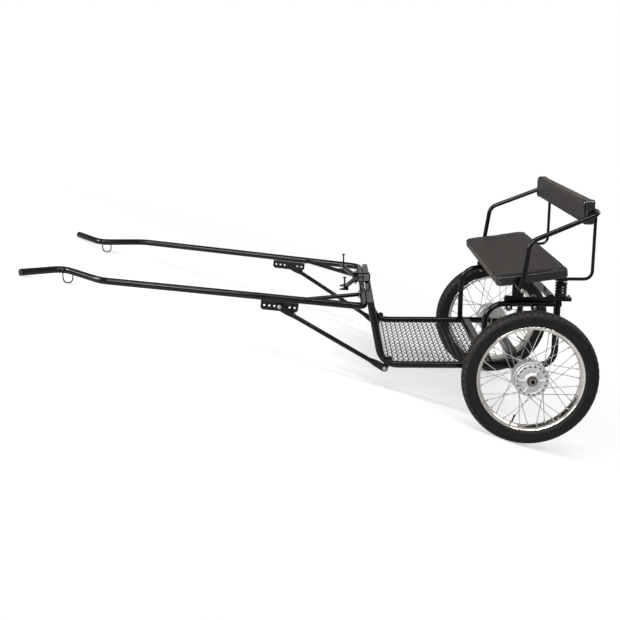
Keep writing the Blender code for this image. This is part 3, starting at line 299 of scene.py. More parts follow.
# Where along the bar, and how long
CLAMPS = ((0.086, 0.034), (-0.027, 0.030))
CLAMP_WIDTH = 0.034
CLAMP_THICK = 0.005
CLAMP_MIDDLE = 0.0026
STUD_X = (-0.021, -0.033)
SPRING_BOLT_X = -0.183


def rounded_bar(size, edge, segments):
    """A length of flat bar about the origin, with its edges rounded."""
    bpy.ops.object.select_all(action="DESELECT")
    bpy.ops.mesh.primitive_cube_add(size=1)
    bar = bpy.context.object
    bar.data.transform(Matrix.Diagonal((*size, 1)))
    edges = bar.modifiers.new("edges", "BEVEL")
    edges.width = edge
    edges.segments = segments
    bpy.ops.object.modifier_apply(modifier="edges")
    return bar


def drop(*patterns):
    """Remove patterns once their copies are in place."""
    for pattern in patterns:
        bpy.data.objects.remove(pattern)


for side, label in ((1, "left"), (-1, "right")):
    for index, (x, long) in enumerate(CLAMPS):
        plate = rounded_bar((long, CLAMP_WIDTH, CLAMP_THICK), 0.0012, 3)
        plate.name = f"bar_clamp_{index}_{label}"
        plate.data.transform(parked @ Matrix.Translation((x, side * BAR_Y, BAR_TOP + CLAMP_MIDDLE)))
        rides(paint(tidy(plate), enamel), "frame", "black_steel")
    for index, x in enumerate(STUD_X):
        at = (x, side * BAR_Y, BAR_TOP + 2 * CLAMP_MIDDLE)
        fasten(stud_nut, f"bar_clamp_stud_{index}_{label}", at, UP, turn=0.3)
    fasten(small_nut, f"spring_bolt_{label}", (SPRING_BOLT_X, side * BAR_Y, BAR_TOP), UP)
drop(small_nut, large_nut, stud_nut)

# Tyres: black rubber moulded round a carcass, with a smooth side wall, a raised moulding line, and
# staggered tread blocks that run over the shoulder. The side wall keeps a low sheen; the tread is
# matt and holds brown road dust.
WHEEL_Y = 0.575
TREAD_PITCHES = 60
PITCH_STEPS = 8
BLOCK_H = 0.0034
BLOCK_GAP = 0.0006
TREAD_R = 0.2885
# How far from the middle plane and how far from the axle, from the tread's middle to the bead
TYRE_SIDE = (
    (0.0000, 0.3019), (0.0035, 0.3019), (0.0065, 0.3017), (0.0130, 0.3008), (0.0180, 0.2993),
    (0.0205, 0.2982), (0.0265, 0.2945), (0.0308, 0.2893), (0.0341, 0.2835), (0.0349, 0.2815),
    (0.0358, 0.2805), (0.0352, 0.2790), (0.0359, 0.2700), (0.0355, 0.2610), (0.0338, 0.2540),
    (0.0343, 0.2525), (0.0330, 0.2510), (0.0300, 0.2452), (0.0272, 0.2415), (0.0254, 0.2400),
    (0.0250, 0.2305),
)
# Rows of the tread, from the middle out, and which steps of a pitch carry a block in each
MIDDLE_BLOCK = {1, 2, 3, 4, 5, 6}
STAGGERED_BLOCK = {5, 6, 7, 0, 1, 2}
TREAD_ROWS = {
    0: MIDDLE_BLOCK, 2: STAGGERED_BLOCK, 3: STAGGERED_BLOCK,
    5: MIDDLE_BLOCK, 6: MIDDLE_BLOCK, 7: {1, 2, 3, 4, 5},
}
# The blocks slant by this part of a pitch over this width
CHEVRON = 0.45
CHEVRON_WIDTH = 0.03
TREAD_DUST_PATCH = 20.8
rubber_side = clouded(
    "moulded_black_rubber", 38.5, 6, "#0c0b0a", "#181514", (0.48, 0.66), harsh=0.65,
    Specular_IOR_Level=0.25
)
roughen(rubber_side, 1.11, 2, 0.3, 0.4)
rubber_tread = finish("worn_tread_rubber", Specular_IOR_Level=0.25)
place = add(rubber_tread, "TexCoord").outputs["Object"]
dust = add(rubber_tread, "TexNoise", {
    "Vector": place, "Scale": 1000 / TREAD_DUST_PATCH, "Detail": 8, "Roughness": 0.7
}).outputs["Fac"]
dust = add(rubber_tread, "MapRange", {"Value": dust, 1: 0.40, 2: 0.68, 3: 0.0, 4: 1.0}).outputs[0]
feed(rubber_tread, "Base Color", add(
    rubber_tread, "Mix", {0: dust, 6: linear("#181615"), 7: linear("#38322d")}, data_type="RGBA"
).outputs[2])
feed(rubber_tread, "Roughness", add(
    rubber_tread, "MapRange", {"Value": dust, 1: 0.0, 2: 1.0, 3: 0.62, 4: 0.90}
).outputs[0])


def wheel_place(side):
    """Where a wheel that is laid out about +Z, its outer face up, sits on the parked cart."""
    axle_end = parked @ Matrix.Translation((0, side * WHEEL_Y, AXLE_Z))
    return axle_end @ Matrix.Rotation(-side * pi / 2, 4, "X")


def tyre():
    """Carcass as a grid wrapped round the wheel, whose tread faces are inset and raised as blocks."""
    bpy.ops.object.select_all(action="DESELECT")
    loop = [(-z, r) for z, r in reversed(TYRE_SIDE)] + [(z, r) for z, r in TYRE_SIDE[1:]]
    steps = TREAD_PITCHES * PITCH_STEPS
    bpy.ops.mesh.primitive_grid_add(x_subdivisions=steps, y_subdivisions=len(loop), size=1)
    made = bpy.context.object
    middle = len(TYRE_SIDE) - 1
    loop.append(loop[0])
    for face in made.data.polygons:
        column = int((face.center.x + 0.5) * steps)
        row = int((face.center.y + 0.5) * (len(loop) - 1))
        out = row - middle if row >= middle else middle - 1 - row
        face.material_index = 1 if column % PITCH_STEPS in TREAD_ROWS.get(out, ()) else 0
        face.use_smooth = True
    for vertex in made.data.vertices:
        row = round((vertex.co.y + 0.5) * (len(loop) - 1))
        z, r = loop[row]
        shear = CHEVRON * PITCH_STEPS * abs(z) / CHEVRON_WIDTH
        angle = 2 * pi * ((vertex.co.x + 0.5) + shear / steps)
        vertex.co = (r * cos(angle), r * sin(angle), z)
    bpy.ops.object.mode_set(mode="EDIT")
    bpy.ops.mesh.select_all(action="SELECT")
    bpy.ops.mesh.remove_doubles(threshold=0.00002)
    bpy.ops.mesh.normals_make_consistent(inside=False)
    bpy.ops.mesh.select_all(action="DESELECT")
    made.active_material_index = 1
    bpy.ops.object.mode_set(mode="OBJECT")
    for face in made.data.polygons:
        face.select = face.material_index == 1
    bpy.ops.object.mode_set(mode="EDIT")
    bpy.ops.mesh.inset(thickness=BLOCK_GAP)
    bpy.ops.mesh.extrude_region_shrink_fatten(TRANSFORM_OT_shrink_fatten={"value": BLOCK_H})
    bpy.ops.object.mode_set(mode="OBJECT")
    return tidy(made, 35)


tyre_pattern = tyre()
tyre_pattern.data.materials.append(rubber_side)
tyre_pattern.data.materials.append(rubber_tread)
for face in tyre_pattern.data.polygons:
    away = hypot(face.center.x, face.center.y)
    face.material_index = 1 if face.material_index == 1 and away > TREAD_R else 0


def fit_wheel_piece(pattern, name, side, slot_name, *nodes, seat=Matrix()):
    """A copy of a wheel piece on its own wheel. The right wheel is the left one turned round."""
    label = "left" if side > 0 else "right"
    piece = blank(name + "_" + label)
    piece.data = pattern.data.copy()
    piece.data.transform(wheel_place(side) @ seat)
    return rides(piece, "wheel_" + label, slot_name, *[node + "_" + label for node in nodes])


for side in (1, -1):
    fit_wheel_piece(tyre_pattern, "treaded_tyre", side, "tyre", "tyre")
drop(tyre_pattern)

# Rims: rolled steel strip, welded into a hoop and chromed, with rolled lips, a bead line on each wall
# and a drop centre that the nipples sit in. The chrome mirrors its surroundings, with soft swirls.
chrome = clouded(
    "polished_chrome_on_rolled_steel", 28.6, 6, "#dbd5cf", "#f3efea", (0.07, 0.20), harsh=0.6,
    Metallic=1.0
)
# How far from the axle and from the middle plane, on the hub's side and then on the tyre's side
RIM_HUB_SIDE = (
    (0.2407, 0.0262), (0.2404, 0.0284), (0.2392, 0.0296), (0.2378, 0.0298), (0.2364, 0.0290),
    (0.2354, 0.0272), (0.2334, 0.0258), (0.2272, 0.0246), (0.2262, 0.0232), (0.2262, 0.0204),
    (0.2256, 0.0196), (0.2252, 0.0168), (0.2228, 0.0124), (0.2217, 0.0084), (0.2214, 0.0030),
)
RIM_TYRE_SIDE = (
    (0.2243, 0.0030), (0.2246, 0.0090), (0.2258, 0.0124), (0.2280, 0.0168), (0.2287, 0.0240),
    (0.2292, 0.0249), (0.2388, 0.0251),
)


def turned(name, profile, steps, material, angle=40):
    """A hoop or hub turned about Z from a closed profile of (radius, height)."""
    piece = blank(name)
    count = len(profile)
    ring = [(i, (i + 1) % count) for i in range(count)]
    piece.data.from_pydata([(r, 0, z) for r, z in profile], ring, [])
    bpy.ops.object.mode_set(mode="EDIT")
    bpy.ops.mesh.select_all(action="SELECT")
    bpy.ops.mesh.spin(steps=steps, angle=2 * pi, center=(0, 0, 0), axis=(0, 0, 1))
    bpy.ops.mesh.select_all(action="SELECT")
    bpy.ops.mesh.remove_doubles(threshold=0.00002)
    bpy.ops.mesh.normals_make_consistent(inside=False)
    bpy.ops.object.mode_set(mode="OBJECT")
    return paint(tidy(piece, angle), material)


far_half = [(r, -z) for wall in (RIM_HUB_SIDE, RIM_TYRE_SIDE) for r, z in reversed(wall)]
rim_pattern = turned("rim", [*RIM_HUB_SIDE, *far_half, *RIM_TYRE_SIDE], 144, chrome)
for side in (1, -1):
    fit_wheel_piece(rim_pattern, "rolled_rim", side, "rim", "rim")
drop(rim_pattern)

# Bearing seals: thin pressed steel rings round the axle nuts, brown with old grease. The same dark brown
# finish is painted into the flanges' drilled holes as painted shade. They are pressed into the hubs'
# bosses.
grease_and_hole_shade = clouded("greasy_steel_and_painted_hole_shade", 5.56, 5, "#2a1d15", "#6f6052", (0.25, 0.55), Metallic=0.6)
SEAL_PROFILE = (
    (0.0121, 0.0541), (0.0224, 0.0541), (0.0224, 0.0556), (0.0205, 0.0562), (0.0121, 0.0550),
)
seal = turned("seal", SEAL_PROFILE, 40, grease_and_hole_shade)
for side in (1, -1):
    fit_wheel_piece(seal, "bearing_seal", side, "hub")
drop(seal)

# Hubs: sand-cast aluminium, turned on the flange and boss and left satin, with six radial ribs and
# drilled flanges. The skin shows a fine sandy grain and slight grey staining.
casting = clouded(
    "sand_cast_aluminium", 16.7, 6, "#cfcdcc", "#eeedec", (0.36, 0.55), harsh=0.65, Metallic=1.0
)
roughen(casting, 1.43, 3, 0.35, 0.6)
# Radius and height, round the wall from the outer face's boss, over both flanges, and up the bore
HUB_PROFILE = (
    (0.0240, 0.0600), (0.0300, 0.0600), (0.0315, 0.0588), (0.0322, 0.0500), (0.0340, 0.0456),
    (0.0370, 0.0446), (0.0555, 0.0446), (0.0580, 0.0462), (0.0600, 0.0498), (0.0612, 0.0500),
    (0.0728, 0.0500), (0.0740, 0.0488), (0.0740, 0.0452), (0.0728, 0.0440), (0.0605, 0.0440),
    (0.0580, 0.0420), (0.0570, 0.0385), (0.0578, 0.0310), (0.0600, 0.0284), (0.0768, 0.0280),
    (0.0785, 0.0264), (0.0785, 0.0120), (0.0775, 0.0105), (0.0775, 0.0085), (0.0785, 0.0070),
    (0.0785, -0.0100), (0.0775, -0.0115), (0.0775, -0.0135), (0.0785, -0.0150), (0.0785, -0.0326),
    (0.0770, -0.0340), (0.0125, -0.0340), (0.0103, -0.0322), (0.0103, 0.0530), (0.0115, 0.0540),
    (0.0222, 0.0540), (0.0228, 0.0548), (0.0228, 0.0590),
)
FLANGE_R = 0.0740
FLANGE_LEVEL = 0.047
DRUM_R = 0.0785
DRUM_LEVEL = -0.031
SPOKE_D = 0.0032
SPOKE_PAIRS = 9
SPOKE_CROSSES = 2
SPOKE_OFFSET = 0.0021
RIM_SEAT_R = 0.2212
RIM_STAGGER = 0.0045
HOLE_R = 0.0042
HOLE_IN = 0.0068
HOLE_FLOOR = 0.0460
HOLE_DEPTH = 0.01
RIB_COUNT = 6
RIB_BLOCK = (0.031, 0.0050, 0.0110)
RIB_AT = (0.0470, 0, 0.0462)
hub_pattern = turned("hub", HUB_PROFILE, 96, casting)


def spoke_runs():
    """Each spoke as its flange hole, its side of the flange, its hub end and its rim end."""
    runs = []
    pitch = pi / SPOKE_PAIRS
    flanges = ((1, FLANGE_R, FLANGE_LEVEL, 0), (-1, DRUM_R, DRUM_LEVEL, pitch / 2))
    for side, edge_r, level, offset in flanges:
        hub_r = edge_r - SPOKE_D
        for index in range(2 * SPOKE_PAIRS):
            lean = -1 if index % 2 else 1
            hole = index * pitch + offset
            seat = hole + lean * SPOKE_CROSSES * pitch
            start = Vector((hub_r * cos(hole), hub_r * sin(hole), level + lean * SPOKE_OFFSET))
            end_z = side * RIM_STAGGER + lean * SPOKE_OFFSET
            end = Vector((RIM_SEAT_R * cos(seat), RIM_SEAT_R * sin(seat), end_z))
            runs.append((Vector((start.x, start.y, level)), lean, start, end))
    return runs


def gather(name, parts):
    """Join parts into one piece under a name."""
    bpy.ops.object.select_all(action="DESELECT")
    for part in parts:
        part.select_set(True)
    bpy.context.view_layer.objects.active = parts[0]
    bpy.ops.object.join()
    parts[0].name = name
    return parts[0]


def round_bar(radius, start, end, sides):
    """A round bar between two points, with its place in its mesh."""
    start, end = Vector(start), Vector(end)
    bpy.ops.object.select_all(action="DESELECT")
    bpy.ops.mesh.primitive_cylinder_add(vertices=sides, radius=radius, depth=(end - start).length)
    made = bpy.context.object
    aim = (end - start).to_track_quat("Z", "Y").to_matrix().to_4x4()
    made.data.transform(Matrix.Translation((start + end) / 2) @ aim)
    return made


holes = []
for hole, lean, start, end in spoke_runs():
    if hole.z > 0:
        middle = hole - Vector((hole.x, hole.y, 0)).normalized() * HOLE_IN
        middle.z = HOLE_FLOOR
        holes.append(round_bar(HOLE_R, middle, middle + Vector((0, 0, HOLE_DEPTH)), 12))
# The holes' walls and floors take the drill's dark brown finish, as painted shade in the holes.
drill = paint(gather("drill", holes), grease_and_hole_shade)
choose(hub_pattern)
cut = hub_pattern.modifiers.new("holes", "BOOLEAN")
cut.operation = "DIFFERENCE"
cut.solver = "EXACT"
cut.material_mode = "TRANSFER"
cut.object = drill
bpy.ops.object.modifier_apply(modifier="holes")
drop(drill)
ribs = []
for index in range(RIB_COUNT):
    rib = rounded_bar(RIB_BLOCK, 0.0012, 3)
    turn = Matrix.Rotation(2 * pi * index / RIB_COUNT, 4, "Z")
    rib.data.transform(turn @ Matrix.Translation(RIB_AT))
    ribs.append(rib)
rib_set = paint(gather("ribs", ribs), casting)
hub_pattern = tidy(gather("hub", [tidy(hub_pattern, 35), rib_set]), 35)
for side in (1, -1):
    fit_wheel_piece(hub_pattern, "cast_hub", side, "hub", "spoked_hub")
drop(hub_pattern)

# Spokes: 36 drawn steel wires to a wheel, zinc plated, headed in the flanges' holes and laced two
# across, each in a plated brass nipple that seats in the rim's drop centre.
spoke_steel = clouded(
    "zinc_plated_drawn_wire", 22.2, 4, "#959a9c", "#b9b9b4", (0.24, 0.40), Metallic=1.0
)
nipple_steel = clouded(
    "nickel_plated_brass", 8.33, 4, "#aba59a", "#c6c1b8", (0.20, 0.36), Metallic=1.0
)
ELBOW = 0.0042
HEAD_H = 0.0013
# A nipple's shank and its head: radius, how far in and out from the rim's seat, and facets
NIPPLE_STEPS = ((0.0026, 0.0125, 0.0012, 10), (0.0040, 0.0030, 0.0010, 12))
wires = []
nipples = []
for hole, lean, start, end in spoke_runs():
    wires.append(round_bar(SPOKE_D / 2, start, end, 10))
    through = Vector((0, 0, -lean))
    far = hole + through * ELBOW
    wires.append(round_bar(SPOKE_D / 2, start, far, 10))
    wires.append(round_bar(SPOKE_D * 0.9, far, far + through * HEAD_H, 10))
    run = (end - start).normalized()
    for radius, inner, outer, sides in NIPPLE_STEPS:
        nipples.append(round_bar(radius, end - run * inner, end + run * outer, sides))
spoke_set = paint(tidy(gather("spokes", wires), 50, 0.000001), spoke_steel)
nipple_set = paint(tidy(gather("nipples", nipples), 50, 0.000001), nipple_steel)
for side in (1, -1):
    fit_wheel_piece(spoke_set, "wire_spokes", side, "zinc", "spoked_hub")
    fit_wheel_piece(nipple_set, "spoke_nipples", side, "zinc", "spoked_hub")
drop(spoke_set, nipple_set)

# Valve stems: moulded black rubber with a turned brass foot and a plastic dust cap. Each goes through
# its rim's drop centre beside a spoke, and is held there by its foot.
stem_rubber = clouded("black_moulded_rubber_stem", 5, 3, "#151414", "#2a2828", (0.5, 0.5))
brass = clouded("turned_brass", 3.33, 3, "#8d7a58", "#a8966f", (0.25, 0.45), Metallic=1.0)
STEM_ANGLE = {1: radians(71), -1: radians(-144)}
STEM_SEAT_R = 0.2216
# Radius and height above the rim
FOOT_PROFILE = (
    (0.0, 0.0), (0.0055, 0.0), (0.0055, 0.003), (0.0038, 0.0042), (0.0038, 0.009), (0.0, 0.009),
)
STEM_PROFILE = (
    (0.0, 0.009), (0.0042, 0.009), (0.0040, 0.020), (0.0033, 0.0215), (0.0033, 0.024),
    (0.0046, 0.025), (0.0046, 0.036), (0.0038, 0.038), (0.0, 0.038),
)
foot = turned("foot", FOOT_PROFILE, 20, brass)
stem = turned("stem", STEM_PROFILE, 20, stem_rubber)
for side in (1, -1):
    turn = STEM_ANGLE[side]
    root = Vector((STEM_SEAT_R * cos(turn), STEM_SEAT_R * sin(turn), 0))
    aim = Matrix.Translation(root) @ (-root).to_track_quat("Z", "Y").to_matrix().to_4x4()
    fit_wheel_piece(foot, "valve_foot", side, "tyre", seat=aim)
    fit_wheel_piece(stem, "valve_stem", side, "tyre", seat=aim)
drop(foot, stem)

# Floor: cross ribs of flat bar with expanded steel welded on them, all enamelled black. It is a
# little below the rails' middle, and turns up the toe.
FLOOR_REAR = 0.1858
FLOOR_LEVEL = 0.318
FLOOR_HALF = 0.4249
FLOOR_LENGTH = 0.6135
TOE_LEAN = radians(11)
TOE_R = 0.091
TOE_FOOT_X = 0.652
TOE_SETBACK = 0.006
RIB_PITCH = 0.024
RIB_SIZE = (0.0042, 0.004)
DIAMOND = (0.024, 0.062)
STRAND = (0.0028, 0.0018)
STRAND_MARGIN = 0.003


def floor_at(distance):
    """Middle of the floor and its heading at a distance ahead of its rear edge."""
    corner_x = TOE_FOOT_X - TOE_SETBACK * tan(TOE_LEAN) + TOE_SETBACK / cos(TOE_LEAN)
    turn = pi / 2 - TOE_LEAN
    straight = corner_x - TOE_R * tan(turn / 2) - FLOOR_REAR
    if distance <= straight:
        return Vector((FLOOR_REAR + distance, 0, FLOOR_LEVEL)), 0.0
    bent = (distance - straight) / TOE_R
    arc = min(bent, turn)
    rise = TOE_R * (1 - cos(arc))
    point = Vector((FLOOR_REAR + straight + TOE_R * sin(arc), 0, FLOOR_LEVEL + rise))
    past = max(distance - straight - turn * TOE_R, 0)
    return point + Vector((cos(arc), 0, sin(arc))) * past, arc


def cross_floor(name, pattern, distances):
    """Copies of a pattern that lies across the floor, one at each distance, in one piece."""
    parts = []
    for distance in distances:
        point, heading = floor_at(distance)
        part = blank(name)
        part.data = pattern.data.copy()
        part.data.transform(parked @ Matrix.Translation(point) @ Matrix.Rotation(-heading, 4, "Y"))
        parts.append(part)
    return gather(name, parts)


rib = rounded_bar((RIB_SIZE[0], 2 * FLOOR_HALF, RIB_SIZE[1]), 0.0007, 2)
rib_count = int(FLOOR_LENGTH / RIB_PITCH)
rib_places = [RIB_SIZE[0] / 2] + [index * RIB_PITCH for index in range(1, rib_count + 1)]
floor_ribs = paint(tidy(cross_floor("floor_ribs", rib, rib_places)), enamel)
rides(floor_ribs, "frame", "black_steel", "floor_mesh")
drop(rib)


def zigzag_strand(phase):
    """One strand of expanded metal across the floor, which swings half a diamond to and fro."""
    piece = blank("strand")
    wide, thick = STRAND
    corners = ((-1, -1), (1, -1), (1, 1), (-1, 1))
    shape = bmesh.new()
    count = ceil(2 * FLOOR_HALF / (DIAMOND[1] / 2))
    rows = []
    for index in range(count + 1):
        y = min(-FLOOR_HALF + index * DIAMOND[1] / 2, FLOOR_HALF)
        x = (DIAMOND[0] - wide * 1.1) / 4 * (1 if (index + phase) % 2 else -1)
        rows.append([shape.verts.new((x + a * wide / 2, y, b * thick / 2)) for a, b in corners])
    for near, far in zip(rows, rows[1:]):
        for corner in range(4):
            after = (corner + 1) % 4
            shape.faces.new((near[corner], far[corner], far[after], near[after]))
    shape.faces.new(rows[0])
    shape.faces.new(list(reversed(rows[-1])))
    bmesh.ops.recalc_face_normals(shape, faces=shape.faces)
    shape.to_mesh(piece.data)
    shape.free()
    return piece


strand_sets = []
strand_pitch = DIAMOND[0] / 2
strand_count = int((FLOOR_LENGTH - 2 * STRAND_MARGIN) / strand_pitch)
for phase in (0, 1):
    strand = zigzag_strand(phase)
    places = [STRAND_MARGIN + strand_pitch * index for index in range(strand_count)]
    strand_sets.append(cross_floor("floor_expanded_mesh", strand, places[phase::2]))
    drop(strand)
expanded = paint(tidy(gather("floor_expanded_mesh", strand_sets), 30, 0.000001), enamel)
rides(expanded, "frame", "black_steel", "floor_mesh")

# Seat springs: 10 mm spring steel wound cold with closed ends, and enamelled with the frame. Each
# stands near the rear end of its seat bar, under the seat frame.
SPRING_X = -0.146
SPRING_LOW = 0.6512
SPRING_HIGH = 0.7088
COIL_R = 0.0220
COIL_TURNS = 5.5
COIL_STEPS = 154
WIRE_R = 0.0052
# The part of the wire that climbs; the rest lies in the closed ends
CLIMB = 1 / 1.22
CLIMB_START = 0.11 / 1.22


def round_wire(name, points, radius, facets, closed, place):
    """A round wire or cord along points, in its place. Its ends are capped unless it is closed."""
    curve = bpy.data.curves.new(name, "CURVE")
    curve.dimensions = "3D"
    curve.bevel_depth = radius
    curve.bevel_resolution = facets
    curve.use_fill_caps = not closed
    spline = curve.splines.new("POLY")
    spline.points.add(len(points) - 1)
    for target, point in zip(spline.points, points):
        target.co = (*point, 1)
    spline.use_cyclic_u = closed
    piece = bpy.data.objects.new(name, curve)
    bpy.context.scene.collection.objects.link(piece)
    choose(piece)
    bpy.ops.object.convert(target="MESH")
    piece = bpy.context.object
    piece.data.transform(place)
    bpy.ops.object.mode_set(mode="EDIT")
    bpy.ops.mesh.select_all(action="SELECT")
    bpy.ops.mesh.normals_make_consistent(inside=False)
    bpy.ops.object.mode_set(mode="OBJECT")
    return piece


for side, label in ((1, "left"), (-1, "right")):
    helix = []
    for step in range(COIL_STEPS + 1):
        share = step / COIL_STEPS
        angle = 2 * pi * COIL_TURNS * share
        climbed = min(max((share - CLIMB_START) / CLIMB, 0), 1)
        helix.append((
            SPRING_X + COIL_R * cos(angle),
            side * (BAR_Y + COIL_R * sin(angle)),
            SPRING_LOW + (SPRING_HIGH - SPRING_LOW) * climbed,
        ))
    coil = round_wire("coil_spring_" + label, helix, WIRE_R, 4, False, parked)
    rides(paint(tidy(coil, 50), enamel), "frame", "black_steel", "spring_" + label)

# Seat board and back board: plywood with rounded edges, brushed with dull black paint that lets the
# grain show a little. They lie under the seat cushion and behind the backrest's.
PLY_GRAIN = 8.33
PLY_GRAIN_LENGTH = 167
plywood = finish("black_painted_plywood", Roughness=0.6)
place = add(plywood, "TexCoord").outputs["Object"]
grain_place = add(plywood, "Mapping", {
    "Vector": place, "Scale": (1000 / PLY_GRAIN, 1000 / PLY_GRAIN_LENGTH, 1000 / PLY_GRAIN)
}).outputs[0]
grain = add(plywood, "TexNoise", {"Vector": grain_place, "Scale": 1, "Detail": 6}).outputs["Fac"]
feed(plywood, "Base Color", add(
    plywood, "Mix", {0: grain, 6: linear("#1b1917"), 7: linear("#2f2b28")}, data_type="RGBA"
).outputs[2])
feed(plywood, "Normal", add(
    plywood, "Bump", {"Height": grain, "Strength": 0.3, "Distance": 0.0005}
).outputs[0])


def foam_block(name, size, corner, edge):
    """A box about the origin with rounded corners, seen along its thin side, and rounded edges."""
    bpy.ops.object.select_all(action="DESELECT")
    bpy.ops.mesh.primitive_cube_add(size=1)
    block = bpy.context.object
    block.name = name
    block.data.transform(Matrix.Diagonal((*size, 1)))
    thin = min(range(3), key=lambda axis: size[axis])
    for select, offset, segments in ((True, corner, 6), (False, edge, 3)):
        bpy.ops.object.mode_set(mode="EDIT")
        bpy.ops.mesh.select_mode(type="EDGE")
        bpy.ops.mesh.select_all(action="DESELECT")
        bpy.ops.object.mode_set(mode="OBJECT")
        limit = size[thin] / 2 - 0.0001
        for line in block.data.edges:
            a, b = (block.data.vertices[v].co[thin] for v in line.vertices)
            line.select = abs(a - b) > limit if select else min(abs(a), abs(b)) > limit and a * b > 0
        if not select:
            angles = {}
            for face in block.data.polygons:
                for key in face.edge_keys:
                    angles.setdefault(key, []).append(face.normal.copy())
            for line in block.data.edges:
                pair = angles[line.key]
                line.select = line.select and pair[0].angle(pair[1]) > 1.0
        bpy.ops.object.mode_set(mode="EDIT")
        bpy.ops.mesh.bevel(offset=offset, segments=segments, profile=0.5, affect="EDGES")
        bpy.ops.mesh.select_mode(type="VERT")
        bpy.ops.object.mode_set(mode="OBJECT")
    return block


def panel_of_ply(name, size, corner, at, node):
    """A rounded sheet of ply at a place, which stands for a board that the vinyl wraps round."""
    sheet = foam_block(name, size, corner, 0.0010)
    sheet.data.transform(at)
    return rides(paint(tidy(sheet, 30), plywood), "frame", "board", node)


SEAT_TILT = radians(7.6)
seat_at = Matrix.Translation((0.164, 0, 0.705))
seat_place = parked @ seat_at @ Matrix.Rotation(SEAT_TILT, 4, "Y")
back_place = parked @ Matrix.Translation((-0.2587, 0, 0.982))
seat_board_at = seat_place @ Matrix.Translation((-0.1615, 0, 0.0026))
back_board_at = back_place @ Matrix.Translation((0.0021, 0, 0.055))
panel_of_ply("seat_base_board", (0.290, 1.052, 0.005), 0.026, seat_board_at, "seat_board")
panel_of_ply("back_rear_board", (0.004, 0.990, 0.080), 0.014, back_board_at, "back_board")

# Seat cushion: foam boxed in vinyl, with a welt round its top seam and two joints in its front border.
# The vinyl's leather grain is drawn coarser than life to show. The top is worn to a dull warm black
# with streaks front to back. The border is painted lighter and browner, as painted light, and the
# tight ends are painted darker and bluer, as painted shade and painted reflection, over a real gloss.
# The welts are painted near black, as painted shade along the seams.
VINYL_STREAK = 38.5
VINYL_STREAK_LENGTH = 333
VINYL_CLOUD = 71.4
VINYL_PORE = 2.38


def vinyl(name, dark, light, dull, sheen):
    """Vinyl with a leather grain, streaked across the cart, between two colours and two roughnesses."""
    material = finish(name, Specular_IOR_Level=sheen)
    place = add(material, "TexCoord").outputs["Object"]
    across = add(material, "Mapping", {
        "Vector": place,
        "Scale": (1000 / VINYL_STREAK_LENGTH, 1000 / VINYL_STREAK, 1000 / VINYL_STREAK_LENGTH),
    }).outputs[0]
    streak = add(material, "TexNoise", {
        "Vector": across, "Scale": 1, "Detail": 4, "Roughness": 0.55
    }).outputs["Fac"]
    cloud = add(material, "TexNoise", {
        "Vector": place, "Scale": 1000 / VINYL_CLOUD, "Detail": 4
    }).outputs["Fac"]
    summed = add(material, "Math", {0: streak, 1: cloud}, operation="ADD").outputs[0]
    tone = add(material, "MapRange", {"Value": summed, 1: 0.75, 2: 1.3, 3: 0.0, 4: 1.0}).outputs[0]
    feed(material, "Base Color", add(
        material, "Mix", {0: tone, 6: linear(dark), 7: linear(light)}, data_type="RGBA"
    ).outputs[2])
    feed(material, "Roughness", add(
        material, "MapRange", {"Value": tone, 1: 0, 2: 1, 3: dull[0], 4: dull[1]}
    ).outputs[0])
    pores = add(material, "TexVoronoi", {
        "Vector": place, "Scale": 1000 / VINYL_PORE
    }, feature="SMOOTH_F1").outputs["Distance"]
    soft = add(material, "Bump", {"Height": streak, "Strength": 0.35, "Distance": 0.002}).outputs[0]
    feed(material, "Normal", add(
        material, "Bump", {"Height": pores, "Strength": 0.22, "Distance": 0.0006, "Normal": soft}
    ).outputs[0])
    return material


top_vinyl = vinyl("matt_worn_vinyl", "#120e0c", "#2c2521", (0.42, 0.60), 0.26)
# The border's vinyl is painted lighter than the top's, as painted light on the band that faces the
# front.
border_vinyl_painted_light = vinyl("vinyl_border_painted_light", "#2b241f", "#4c4138", (0.44, 0.60), 0.30)
# The ends' vinyl is painted darker and bluer, as painted shade and a painted blue reflection; its gloss
# is real.
end_vinyl_painted_shade_and_reflection = vinyl("glossy_vinyl_end_painted_shade_and_reflection", "#040408", "#0d0d14", (0.20, 0.30), 0.70)
# The welt's vinyl is painted near black, as painted shade in the seam's groove.
welt_vinyl_painted_shade = vinyl("vinyl_welt_painted_seam_shade", "#050404", "#0c0a09", (0.40, 0.52), 0.25)
CLOTH_FRAMES = 20


def stuff(block, voxel, cap):
    """Blow the block up as stuffed cloth, with each point's movement capped, and leave it as a mesh."""
    choose(block)
    block.data.remesh_voxel_size = voxel
    bpy.ops.object.voxel_remesh()
    start = [vertex.co.copy() for vertex in block.data.vertices]
    cloth = block.modifiers.new("cloth", "CLOTH")
    cloth.settings.use_pressure = True
    cloth.settings.uniform_pressure_force = 4
    cloth.settings.effector_weights.gravity = 0
    cloth.point_cache.frame_start = 1
    cloth.point_cache.frame_end = CLOTH_FRAMES
    for step in range(1, CLOTH_FRAMES + 1):
        bpy.context.scene.frame_set(step)
    swollen = block.evaluated_get(bpy.context.evaluated_depsgraph_get()).to_mesh()
    moved = [vertex.co.copy() for vertex in swollen.vertices]
    block.modifiers.remove(cloth)
    bpy.context.scene.frame_set(1)
    for vertex, before, after in zip(block.data.vertices, start, moved):
        step = after - before
        vertex.co = before + step * min(1, cap / max(step.length, 1e-9))
    smooth = block.modifiers.new("smooth", "SUBSURF")
    smooth.levels = smooth.render_levels = 1
    bpy.ops.object.modifier_apply(modifier="smooth")
    return block


